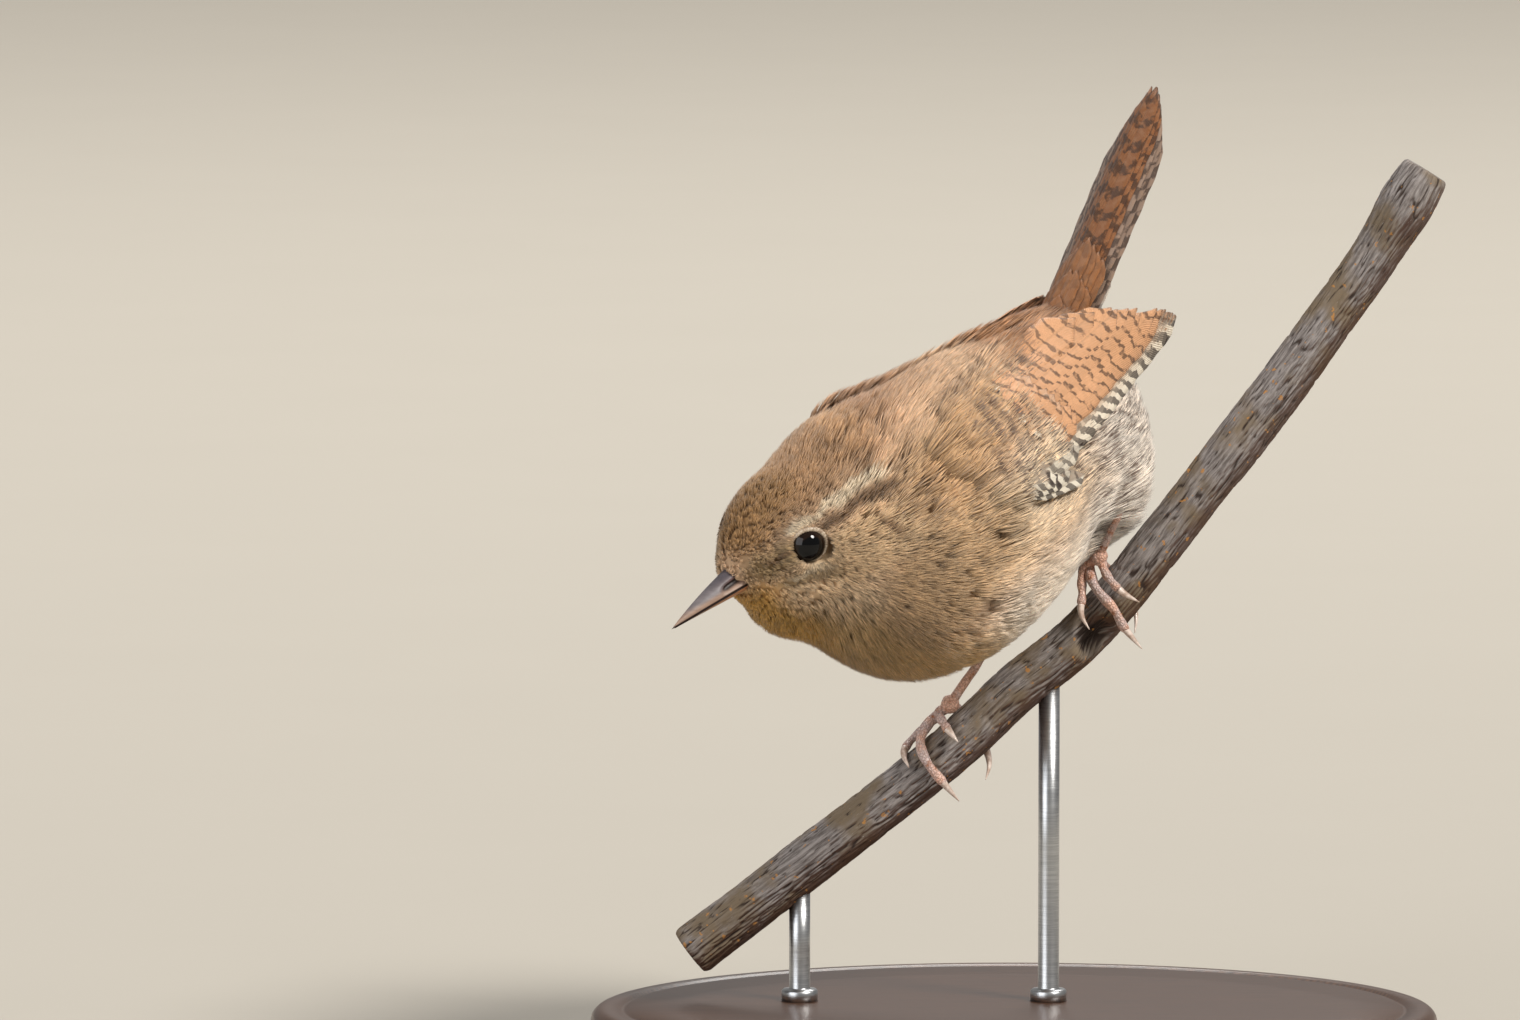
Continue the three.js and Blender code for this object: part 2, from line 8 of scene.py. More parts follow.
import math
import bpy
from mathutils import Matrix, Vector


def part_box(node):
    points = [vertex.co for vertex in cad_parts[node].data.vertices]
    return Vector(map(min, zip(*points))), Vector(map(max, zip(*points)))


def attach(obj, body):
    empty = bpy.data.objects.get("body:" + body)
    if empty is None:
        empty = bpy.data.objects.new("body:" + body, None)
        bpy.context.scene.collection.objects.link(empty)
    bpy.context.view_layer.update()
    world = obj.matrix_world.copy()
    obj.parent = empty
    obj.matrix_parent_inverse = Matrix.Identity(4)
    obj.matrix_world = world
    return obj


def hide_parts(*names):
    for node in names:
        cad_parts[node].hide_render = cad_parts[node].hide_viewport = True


bl_info = {
    "name": "Wren on a Twig",
    "version": (1, 0, 0),
    "blender": (4, 5, 0),
    "location": "View3D > Sidebar > Wren",
    "description": "Dresses the solids of a life-size wren in feathers, horn, scutes and bark",
    "category": "Mesh",
}

import bpy
import numpy as np
from mathutils import Vector

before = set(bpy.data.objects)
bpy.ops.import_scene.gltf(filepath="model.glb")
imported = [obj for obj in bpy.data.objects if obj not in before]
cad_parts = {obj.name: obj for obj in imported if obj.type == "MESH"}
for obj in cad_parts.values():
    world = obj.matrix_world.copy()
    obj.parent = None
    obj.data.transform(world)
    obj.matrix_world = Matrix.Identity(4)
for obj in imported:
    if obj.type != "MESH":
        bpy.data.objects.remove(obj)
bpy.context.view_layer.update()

MM = 0.001

# The head and the body each have axes x forward, y left and z up, turned from level.
BODY = {"place": (-5.1, 0, 68.2), "yaw": 42, "pitch": 30, "roll": 5}
HEAD = {"place": (-27.4, -13, 64.25), "yaw": 42.5, "pitch": 24, "roll": 7}

# The feathered form: ellipsoids by centre and radii, run together over BLEND.
BLEND = 1.5
FORMS = (
    ("head", (-0.6, 0, -0.6), (8.2, 6.5, 8.6)),
    ("head", (5.6, 0, -0.7), (4.2, 3.1, 3.2)),
    ("head", (-3.1, 3.2, -2.8), (6.4, 4.8, 4.9)),
    ("head", (-3.1, -3.2, -2.8), (6.4, 4.8, 4.9)),
    ("head", (-3.4, 0, -7.0), (8.4, 5.4, 5.6)),
    ("head", (-10.9, 0, 0.5), (10.3, 8.4, 8.9)),
    ("body", (11.1, 0, -2.2), (14.6, 15.4, 13.1)),
    ("body", (3.4, 0, 1.0), (17.1, 16.1, 16.5)),
    ("body", (-11.0, 0, -2.2), (12.8, 14.2, 12.9)),
    ("body", (-3.6, 0, 6.0), (15.6, 11.0, 9.2)),
    ("body", (-19.2, 0, 3.0), (8.3, 7.4, 7.5)),
)
SPINE = (("head", (5, 0, -1)), ("head", (0, 0, -0.5)), ("body", (9, 0, -1)),
         ("body", (0, 0, -1)), ("body", (-10, 0, 0)), ("body", (-16, 0, 1)))
FORM_RINGS = 200
FORM_SIDES = 216
FORM_LEVELS = (-2.4, 2.0)

# Where the left leg comes out of the belly's feathers, how deep they part and how wide.
LEG_PARTING = {"place": (11.0, -0.6, 63.6), "depth": 1.9, "reach": 3.2}
# In the head's axes. An eye has its centre on the left and its radius, and turns forward that
# many degrees from straight out. From the side, the feathers leave it bare round the place
# where it is seen, and the skin is pressed in there by the hollow, out to the reach.
EYE = {"place": (1.4, 5.55, 0.95), "radius": 2.2, "forward": 26, "seen": (1.7, 0.95),
       "bare": 2.2, "hollow": 1.3, "reach": 1.9}
# The bill's mouth line is level with the gape at its base and bends down by the drop.
BILL = {"base": 7.0, "tip": 19.6, "gape": -1.3, "drop": 0.5, "width": 2.15, "height": 2.0,
        "depth": 1.45}
NOSTRIL = {"along": 10.2, "up": 0.72, "reach": (1.5, 0.34), "depth": 0.6}
# In the body's axes. A folded wing faces outwards and leans up by that many degrees, over a
# bed pressed into the form. The tail is cocked that many degrees over the body's axis.
WING = {"wrist": (8.5, 14.2, 6.0), "tip": (-32.8, 6.6, 4.2), "lean": 34, "bed": 1.6}
WING_BED = {"centre": (-21, 2.2, 4.5), "radii": (15.5, 6.2, 8.0)}
TAIL = {"root": (-17, 0, 7), "cock": 30.5, "length": 36.4}

# Where a folded wing's lower and upper edges lie across it, at millimetres from its wrist.
WING_EDGES = {"lower": ((0, 6, 20, 34, 42), (-1.4, -2.0, -1.2, 0, 0.4)),
              "upper": ((0, 4, 18, 26, 34, 42), (8, 10, 10.5, 9.5, 3.5, 2))}
# The gap in the body feathers where the alula lies, along and across the wing.
ALULA_GAP = {"along": 10.5, "across": -2.4, "slope": -0.25, "half": (3.8, 1.7)}

# The twig's middle line, by x and z in the plane of its y. Its knot is at a share of its
# length, and its hollow is pressed in at a place of the frame.
TWIG = {"radius": 3.05, "y": 5, "points": ((-38.3, 12.8), (-18.9, 27.7), (-5.3, 38.8), (0.2, 44.1),
                                           (8.6, 51.1), (23, 69), (39.3, 91), (45.8, 101.2),
                                           (48.5, 105.6))}
KNOT = {"at": 0.965, "swell": 0.9, "reach": 0.03}
HOLLOW = {"place": (9.6, 2.0, 50.6), "depth": 1.9, "reach": 2.3}

# Each toe's points lie beside the twig: along it from where the foot stands, round it in
# degrees and out from its centreline.
FEET = {
    "left": {
        "stand": (8.6, 51.1), "slope": 51, "hub": (7.8, 22, 5.0),
        "shank": ((12.2, -0.7, 66.0), (12.6, 1.6, 70.4)),
        "inner": ((5.7, 12, 5.2), (3.1, 38, 4.2), (1.4, 60, 4.1), (0.5, 92, 4.3)),
        "middle": ((6.6, 10, 4.9), (5.0, 43, 4.15), (4.3, 97, 4.1), (3.4, 128, 4.4), (2.6, 152, 7.6)),
        "outer": ((8.2, 14, 4.9), (7.0, 44, 4.2), (6.5, 84, 4.1), (6.9, 125, 4.7)),
        "hind": ((7.2, -40, 4.5), (6.2, -95, 4.1), (5.2, -140, 4.3), (2.9, -172, 5.0)),
    },
    "right": {
        "stand": (-5, 38.4), "slope": 44, "hub": (0.9, 8, 4.7),
        "shank": ((-4.2, 3.4, 47.6), (0.6, 1.6, 59)),
        "inner": ((-0.6, 8, 4.9), (-1.0, 28, 4.4), (-1.1, 45, 4.15), (-1.2, 78, 4.3)),
        "middle": ((-2.2, 4, 4.8), (-4.4, 22, 4.5), (-5.5, 60, 4.1), (-5.8, 104, 4.1), (-6.1, 148, 5.6)),
        "outer": ((-2.8, -16, 4.7), (-5.6, -12, 4.7), (-7.0, 14, 4.4), (-7.6, 56, 4.7)),
        "hind": ((0.9, -45, 4.4), (0.6, -100, 4.1), (-0.6, -150, 4.3), (-2.6, -186, 5.0)),
    },
}
TOES = {"inner": 0.58, "middle": 0.62, "outer": 0.56, "hind": 0.66}
# The curve of a toe and its claw has this many points, and the claw starts at one of them.
TOE_STEPS = 101
CLAW_START = {"inner": 66, "middle": 76, "outer": 66, "hind": 66}

# The stand's base has a round edge, a small chamfer under it and a groove in its top, which
# runs between these distances in from its edge.
BASE = {"round": 1.6, "chamfer": 0.6, "groove": (3.2, 3.5, 4.1, 4.4), "groove_depth": 0.35}
ROD_RADIUS = 1.25

# Seeds of the random numbers, so that every run makes the same wren.
SEEDS = {"coat": 7, "fine": 11, "broad": 12, "eye_ring": 17, "eye_tufts": 18, "wing_vanes": 21,
         "tail_vanes": 22, "wing_rows": 31, "warp": 40, "mottle": 51, "bar_bend": 61,
         "bar_wave": 62, "bar_patches": 63, "ridges": 71, "fine_ridges": 72, "worn": 73,
         "swell": 74, "grain": 75, "torn": 76}


def axes(place, yaw, pitch, roll):
    """The origin of a turned set of axes, and a matrix whose columns are forward, left and up.

    Forward is -X turned by yaw towards -Y and by pitch downwards; roll turns left and up
    about forward.
    """
    y, p, r = np.radians((yaw, pitch, roll))
    forward = np.array((-math.cos(p) * math.cos(y), -math.cos(p) * math.sin(y), -math.sin(p)))
    level_up = np.array((-math.sin(p) * math.cos(y), -math.sin(p) * math.sin(y), math.cos(p)))
    level_left = np.cross(level_up, forward)
    left = level_left * math.cos(r) - level_up * math.sin(r)
    up = level_up * math.cos(r) + level_left * math.sin(r)
    return np.array(place, float), np.column_stack((forward, left, up))


AXES = {"head": axes(**HEAD), "body": axes(**BODY)}


def into(name, points):
    """Points of the frame, seen in the head's or the body's own axes."""
    origin, turned = AXES[name]
    return (points - origin) @ turned


def parts_in(name, points):
    """The x, y and z of points of the frame in the head's or the body's own axes."""
    return np.moveaxis(into(name, points), -1, 0)


def out_of(name, points):
    """Points in the head's or the body's own axes, put back into the frame."""
    origin, turned = AXES[name]
    return np.asarray(points, float) @ turned.T + origin


def smooth(value):
    """0 below 0, 1 above 1, and 3v^2 - 2v^3 between."""
    value = np.clip(value, 0, 1)
    return value * value * (3 - 2 * value)


def unit(vectors):
    """The vectors at length 1."""
    return vectors / (np.linalg.norm(vectors, axis=-1, keepdims=True) + 1e-12)


def turns(count):
    """Angles in even steps round a whole turn."""
    return np.arange(count) * 2 * math.pi / count


def ellipsoid(points, centre, radii):
    """About the distance to an ellipsoid: k (k - 1) / g, where k is the length of the point
    over the radii and g its length over their squares."""
    away = points - np.array(centre)
    near = np.linalg.norm(away / np.array(radii), axis=-1)
    steep = np.linalg.norm(away / np.array(radii) ** 2, axis=-1) + 1e-9
    return near * (near - 1) / steep


def coat(points, bed=None):
    """The distance from the feathered form, negative inside: -BLEND log of the sum of
    exp(-d / BLEND) over the ellipsoids, pressed in beneath the wings and round the shank."""
    local = {name: into(name, points) for name in AXES}
    forms = [(local[name], centre, radii) for name, centre, radii in FORMS]
    if bed is not None:
        forms.append((local["body"], *bed))
    total = sum(np.exp(np.clip(-ellipsoid(*form) / BLEND, -80, 80)) for form in forms)
    x, y, z = np.moveaxis(local["body"], -1, 0)
    pressed = (WING["bed"] * smooth((7 - x) / 8) * smooth((x + 31) / 5)
               * smooth((np.abs(y) - 2) / 4) * smooth((z + 1) / 4))
    shank = np.linalg.norm(points - np.array(LEG_PARTING["place"]), axis=-1) / LEG_PARTING["reach"]
    return -BLEND * np.log(total) + pressed + LEG_PARTING["depth"] * np.exp(-shank ** 2)


def cast(start, ray, level, near, far, bed=None):
    """The point on each ray where the coat's distance passes the level, by halving 24 times."""
    near = np.full(start.shape[:-1], float(near))
    far = np.full(start.shape[:-1], float(far))
    for _ in range(24):
        middle = (near + far) / 2
        inside = coat(start + ray * middle[..., None], bed) < level
        near = np.where(inside, middle, near)
        far = np.where(inside, far, middle)
    return start + ray * far[..., None]


def path(knots, count):
    """A centripetal Catmull-Rom curve through the knots, at even steps of its length.

    Between two knots the curve is the cubic whose end slopes weigh the neighbouring chords
    by the square roots of their lengths.
    """
    knots = np.asarray(knots, float)
    ghosts = np.vstack((2 * knots[0] - knots[1], knots, 2 * knots[-1] - knots[-2]))
    p0, p1, p2, p3 = ghosts[:-3], ghosts[1:-2], ghosts[2:-1], ghosts[3:]
    d0, d1, d2 = (np.linalg.norm(b - a, axis=1, keepdims=True) ** 0.5
                  for a, b in ((p0, p1), (p1, p2), (p2, p3)))
    slope1 = ((p1 - p0) / d0 - (p2 - p0) / (d0 + d1) + (p2 - p1) / d1) * d1
    slope2 = ((p2 - p1) / d1 - (p3 - p1) / (d1 + d2) + (p3 - p2) / d2) * d1
    t = np.linspace(0, 1, 60, endpoint=False)[None, :, None]
    a, b = p1[:, None], slope1[:, None]
    c = (-3 * p1 + 3 * p2 - 2 * slope1 - slope2)[:, None]
    d = (2 * p1 - 2 * p2 + slope1 + slope2)[:, None]
    fine = np.vstack(((a + b * t + c * t ** 2 + d * t ** 3).reshape(-1, 3), knots[-1:]))
    length = np.concatenate(([0], np.cumsum(np.linalg.norm(np.diff(fine, axis=0), axis=1))))
    even = np.linspace(0, length[-1], count)
    return np.column_stack([np.interp(even, length, fine[:, k]) for k in range(3)])


def form_grid(level):
    """The form's skin at a level: rings of points from the bill's end to the tail's.

    A ray leaves the spine for each way along it and each turn round it. The rays look
    forward at the bill, backward at the tail, and fan evenly in between.
    """
    way = np.linspace(0, 1, FORM_RINGS + 1)
    turn = turns(FORM_SIDES)
    spine = path([out_of(name, point) for name, point in SPINE], FORM_RINGS + 1)
    share = smooth((way - 0.15) / 0.4)[:, None]
    ahead = unit(AXES["head"][1][:, 0] * (1 - share) + AXES["body"][1][:, 0] * share)
    up = AXES["head"][1][:, 2] * (1 - share) + AXES["body"][1][:, 2] * share
    up = unit(up - ahead * np.sum(ahead * up, axis=1, keepdims=True))
    left = np.cross(up, ahead)
    fan = (math.pi * (0.25 * (1 - np.cos(math.pi * way)) + 0.5 * way))[:, None, None]
    ray = (ahead[:, None] * np.cos(fan) + up[:, None] * np.sin(fan) * np.cos(turn)[None, :, None]
           + left[:, None] * np.sin(fan) * np.sin(turn)[None, :, None])
    return cast(np.repeat(spine[:, None], FORM_SIDES, axis=1), ray, level, 0, 45)


def grid_value(grid, way, turn):
    """A grid's value at any way and turn, run together from the four points about it."""
    row = np.clip(way, 0, 1) * FORM_RINGS
    column = np.mod(turn / (2 * math.pi), 1) * FORM_SIDES
    low = np.minimum(row.astype(int), FORM_RINGS - 1)
    first = column.astype(int) % FORM_SIDES
    second = (first + 1) % FORM_SIDES
    down = (row - low)[..., None]
    over = (column - np.floor(column))[..., None]
    top = grid[low, first] * (1 - over) + grid[low, second] * over
    bottom = grid[low + 1, first] * (1 - over) + grid[low + 1, second] * over
    return top * (1 - down) + bottom * down


INNER, OUTER = (form_grid(level) for level in FORM_LEVELS)
MIDDLE = INNER + (OUTER - INNER) * (-FORM_LEVELS[0] / (FORM_LEVELS[1] - FORM_LEVELS[0]))


def measures():
    """For each point of the form: millimetres for a whole way, millimetres for a radian of
    turn, and millimetres travelled from the bill's end."""
    stretch = np.linalg.norm(np.gradient(MIDDLE, axis=0), axis=-1) * FORM_RINGS
    beside = np.linalg.norm(np.roll(MIDDLE, -1, axis=1) - np.roll(MIDDLE, 1, axis=1), axis=-1)
    girth = beside * FORM_SIDES / (4 * math.pi)
    steps = np.linalg.norm(np.diff(MIDDLE, axis=0), axis=-1)
    travel = np.vstack((np.zeros((1, FORM_SIDES)), np.cumsum(steps, axis=0)))
    return np.stack((stretch, np.maximum(girth, 0.3), travel), axis=-1)


MEASURES = measures()


def on_form(way, turn, level=0.0):
    """A point of the form, at a level over the coat's surface: straight between two grids."""
    share = np.asarray((level - FORM_LEVELS[0]) / (FORM_LEVELS[1] - FORM_LEVELS[0]))[..., None]
    inner = grid_value(INNER, way, turn)
    return inner + (grid_value(OUTER, way, turn) - inner) * share


def cloud(points, size, seed):
    """Value noise from 0 to 1: random numbers on a lattice of that size, run together."""
    table = np.random.default_rng(seed).random((32, 32, 32))
    scaled = np.asarray(points) / size
    low = np.floor(scaled).astype(int)
    part = smooth(scaled - low)
    total = np.zeros(scaled.shape[:-1])
    for corner in np.ndindex(2, 2, 2):
        x, y, z = np.moveaxis((low + np.array(corner)) % 32, -1, 0)
        total += np.prod(np.where(np.array(corner), part, 1 - part), axis=-1) * table[x, y, z]
    return total


def together(*values):
    """Values of one shape once spread, as one array that holds them in a last axis."""
    return np.stack(np.broadcast_arrays(*values), axis=-1)


def linear(red, green, blue):
    """A colour given in 0 to 255 display values, as the linear values that shading takes."""
    display = np.array((red, green, blue)) / 255
    return tuple(np.where(display <= 0.04045, display / 12.92, ((display + 0.055) / 1.055) ** 2.4))


def linked(name, data):
    """An object that holds the mesh, light or camera, in the scene."""
    made = bpy.data.objects.new(name, data)
    bpy.context.scene.collection.objects.link(made)
    return made


def shells(name, rings, root=None, tip=None, layers=None, uv=None, round_uv=False):
    """A mesh of closed shells from rings of points.

    rings is shells by rows by sides. Quads join each row to the next, and a fan of
    triangles closes each end on its own point, the middle of its row unless it is given.
    A shell whose signed volume comes out negative has its faces turned over. layers holds
    colours or vectors for every ring point, and uv the same for the OFBake map. round_uv keeps
    the faces at the seam of a map that runs round from going back across it.
    """
    count, rows, sides, _ = rings.shape
    block = rows * sides + 2

    def ends(values, first, last):
        first = values[:, 0].mean(axis=1) if first is None else first
        last = values[:, -1].mean(axis=1) if last is None else last
        flat = values.reshape(count, rows * sides, values.shape[-1])
        return np.concatenate((flat, first[:, None], last[:, None]), axis=1)

    points = ends(rings, root, tip)
    row, side = np.meshgrid(np.arange(rows - 1), np.arange(sides), indexing="ij")
    following = (side + 1) % sides
    quads = np.stack((row * sides + side, (row + 1) * sides + side,
                      (row + 1) * sides + following, row * sides + following), axis=-1).reshape(-1, 4)
    ring = np.arange(sides)
    after = (ring + 1) % sides
    last = (rows - 1) * sides
    fans = np.concatenate((np.stack((np.full(sides, block - 2), ring, after), axis=-1),
                           np.stack((last + after, last + ring, np.full(sides, block - 1)), axis=-1)))
    a, b, c, d = (points[:, quads[:, k]] for k in range(4))
    volume = (np.einsum("nfk,nfk->n", a, np.cross(b, c)) + np.einsum("nfk,nfk->n", a, np.cross(c, d)))
    a, b, c = (points[:, fans[:, k]] for k in range(3))
    volume += np.einsum("nfk,nfk->n", a, np.cross(b, c))
    turned = (volume < 0)[:, None, None]
    start = (np.arange(count) * block)[:, None, None]
    all_quads = np.where(turned, quads[None, :, ::-1], quads[None]) + start
    all_fans = np.where(turned, fans[None, :, ::-1], fans[None]) + start
    loops = np.concatenate((all_quads.ravel(), all_fans.ravel())).astype(np.int32)
    four, three = all_quads.size // 4, all_fans.size // 3
    starts = np.concatenate((np.arange(four) * 4, four * 4 + np.arange(three) * 3)).astype(np.int32)

    mesh = bpy.data.meshes.new(name)
    mesh.vertices.add(count * block)
    mesh.vertices.foreach_set("co", (points * MM).astype(np.float32).ravel())
    mesh.loops.add(len(loops))
    mesh.loops.foreach_set("vertex_index", loops)
    mesh.polygons.add(four + three)
    mesh.polygons.foreach_set("loop_start", starts)
    mesh.polygons.foreach_set("use_smooth", np.ones(four + three, bool))
    mesh.update(calc_edges=True)
    for layer, values in (layers or {}).items():
        flat = ends(np.broadcast_to(values, (count, rows, sides, values.shape[-1])), None, None)
        flat = flat.reshape(-1, values.shape[-1])
        kind, field = "FLOAT_VECTOR", "vector"
        if layer == "plumage":
            kind, field = "FLOAT_COLOR", "color"
            flat = np.column_stack((flat, np.ones(len(flat))))
        data = mesh.attributes.new(layer, kind, "POINT").data
        data.foreach_set(field, flat.astype(np.float32).ravel())
    if uv is not None:
        at_points = ends(np.broadcast_to(uv, (count, rows, sides, 2)), None, None).reshape(-1, 2)
        at_loops = at_points[loops]
        if round_uv:
            corners = at_loops[:four * 4].reshape(-1, 4, 2)
            seam = corners[..., 0].max(axis=1) - corners[..., 0].min(axis=1) > 0.5
            corners[..., 0] += seam[:, None] & (corners[..., 0] < 0.5)
        mesh.uv_layers.new(name="OFBake").data.foreach_set("uv", at_loops.astype(np.float32).ravel())
    return linked(name, mesh)


def finish_piece(piece, material, slot, *nodes):
    """Gives a piece its material and its body, and hides the frame's parts of the nodes it stands for; the
    slot is not used.
    """
    piece.data.materials.append(material)
    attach(piece, "root")
    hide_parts(*nodes)
    return piece


TUBE_UP = (0.3, 0.9, 0.2)


def tube(points, radius, sides):
    """Rings round a path: each is a circle across the path, times a radius that is a function
    of the way along and the turn round. The turn starts from TUBE_UP."""
    points = np.asarray(points, float)
    run = unit(np.gradient(points, axis=0))
    across = unit(np.cross(run, np.array(TUBE_UP)))
    over = np.cross(across, run)
    way = np.linspace(0, 1, len(points))[:, None]
    turn = turns(sides)[None, :]
    size = np.broadcast_to(radius(way, turn), (len(points), sides))[..., None]
    ring = over[:, None] * np.cos(turn)[..., None] + across[:, None] * np.sin(turn)[..., None]
    return points[:, None] + ring * size


class Finish:
    """A material in the making: each method adds nodes and gives back a socket."""

    def __init__(self, name):
        self.material = bpy.data.materials.new(name)
        self.material.use_nodes = True
        self.tree = self.material.node_tree
        self.shader = self.tree.nodes["Principled BSDF"]

    def put(self, socket, value):
        """Links a socket's value, or sets it."""
        if isinstance(value, bpy.types.NodeSocket):
            self.tree.links.new(value, socket)
        elif isinstance(value, tuple) and socket.type == "RGBA":
            socket.default_value = (*value[:3], 1)
        else:
            socket.default_value = value

    def node(self, kind, inputs, out=0, **settings):
        """A shader node of a kind, with its settings and inputs."""
        made = self.tree.nodes.new("ShaderNode" + kind)
        for key, value in settings.items():
            setattr(made, key, value)
        for key, value in inputs.items():
            self.put(made.inputs[key], value)
        return made.outputs[out]

    def math(self, operation, a, b=0.0, c=0.0):
        return self.node("Math", {0: a, 1: b, 2: c}, operation=operation)

    def times(self, a, b):
        """One value times another."""
        return self.math("MULTIPLY", a, b)

    def attribute(self, name, out="Vector"):
        """A value that the mesh holds at each of its points."""
        return self.node("Attribute", {}, out=out, attribute_name=name)

    def parts(self, vector):
        """A vector's three numbers."""
        made = self.tree.nodes.new("ShaderNodeSeparateXYZ")
        self.tree.links.new(vector, made.inputs[0])
        return made.outputs

    def place(self, stretch=(1, 1, 1)):
        """Object coordinates in millimetres, stretched."""
        object_place = self.node("TexCoord", {}, out="Object")
        scale = tuple(value / MM for value in stretch)
        return self.node("VectorMath", {0: object_place, 1: scale}, operation="MULTIPLY")

    def noise(self, vector, scale, detail=3.0, roughness=0.55):
        return self.node("TexNoise", {"Vector": vector, "Scale": scale, "Detail": detail,
                                      "Roughness": roughness})

    def ramp(self, value, low, high):
        """0 at low, 1 at high, smoothly between."""
        return self.node("MapRange", {"Value": value, "From Min": low, "From Max": high},
                         interpolation_type="SMOOTHSTEP")

    def mix(self, share, a, b, blend="MIX"):
        """Colour a where the share is 0, and b where it is 1."""
        made = self.tree.nodes.new("ShaderNodeMix")
        made.data_type = "RGBA"
        made.blend_type = blend
        for socket, value in ((made.inputs[0], share), (made.inputs[6], a), (made.inputs[7], b)):
            self.put(socket, value)
        return made.outputs[2]

    def bump(self, height, distance, strength=1.0):
        """Relief of that many millimetres."""
        return self.node("Bump", {"Height": height, "Distance": distance * MM, "Strength": strength})

    def shade(self, **inputs):
        """Sets the shader's inputs, and gives back the material."""
        for key, value in inputs.items():
            self.put(self.shader.inputs[key.replace("_", " ")], value)
        return self.material


def colour(name, description, display):
    """A colour property whose default is a display colour."""
    return bpy.props.FloatVectorProperty(name=name, description=description, subtype="COLOR",
                                         size=3, min=0, max=1, default=linear(*display))


def size(name, description, value):
    """A length property in millimetres."""
    return bpy.props.FloatProperty(name=name, description=description, default=value, min=0,
                                   soft_max=20, unit="NONE")


class WrenColours(bpy.types.PropertyGroup):
    """The colours of the plumage, horn, legs, twig and stand."""

    crown: colour("Crown", "Top of the head", (180, 142, 104))
    forehead: colour("Forehead", "Above the bill", (166, 128, 84))
    nape: colour("Nape", "Back of the neck", (168, 130, 98))
    brow: colour("Brow", "Pale stripe over the eye", (240, 220, 190))
    eye_line: colour("Eye line", "Dark stripe behind the eye", (128, 98, 68))
    lore: colour("Lore", "Between bill and eye", (172, 144, 104))
    ear: colour("Ear coverts", "Behind and below the eye", (216, 184, 144))
    cheek: colour("Cheek", "Below the ear coverts", (250, 218, 178))
    throat: colour("Throat", "Chin and throat", (222, 174, 94))
    breast: colour("Breast", "Lower breast", (226, 188, 134))
    chest: colour("Chest", "Upper side of the breast", (198, 164, 124))
    belly: colour("Belly", "Middle of the belly", (244, 228, 208))
    flank: colour("Flank", "Side of the body", (244, 218, 184))
    vent: colour("Vent", "Under the tail", (250, 238, 224))
    mantle: colour("Mantle", "Upper back", (220, 184, 148))
    scapular: colour("Scapulars", "Shoulder feathers", (204, 164, 120))
    rump: colour("Rump", "Lower back", (184, 134, 92))
    bar: colour("Bars", "Dark bars of the body feathers", (92, 62, 40))
    wing: colour("Wing", "Secondaries and coverts", (222, 166, 122))
    primary: colour("Primaries", "Inner vanes of the primaries", (180, 138, 104))
    alula: colour("Alula", "Small feathers of the thumb", (176, 160, 142))
    tail: colour("Tail", "Middle tail feathers", (146, 92, 52))
    tail_edge: colour("Tail edge", "Outer tail feathers", (154, 130, 114))
    covert: colour("Tail coverts", "Feathers over the tail's root", (160, 104, 60))
    wing_bar: colour("Wing bars", "Dark bars of wing and tail", (50, 33, 25))
    spot: colour("Spots", "Pale spots of the wing", (252, 242, 222))


class WrenSizes(bpy.types.PropertyGroup):
    """The lengths of the feathers, in millimetres."""

    face_depth: size("Face depth", "Depth of the coat on the face", 0.5)
    head_depth: size("Head depth", "Depth of the coat on the crown and throat", 0.9)
    body_depth: size("Body depth", "Depth of the coat on the body", 1.4)
    face_length: size("Face feathers", "Length of the feathers by the bill", 1.15)
    crown_length: size("Crown feathers", "Length of the feathers on the crown", 2.3)
    body_length: size("Body feathers", "Length of the feathers on the body", 4.6)
    bar_pitch: size("Bar pitch", "From one dark bar of the body to the next", 2.0)
    barb: size("Barb", "Width of a barb on the body", 0.22)
    vane_thickness: size("Vane thickness", "Thickness of a flight feather", 0.14)


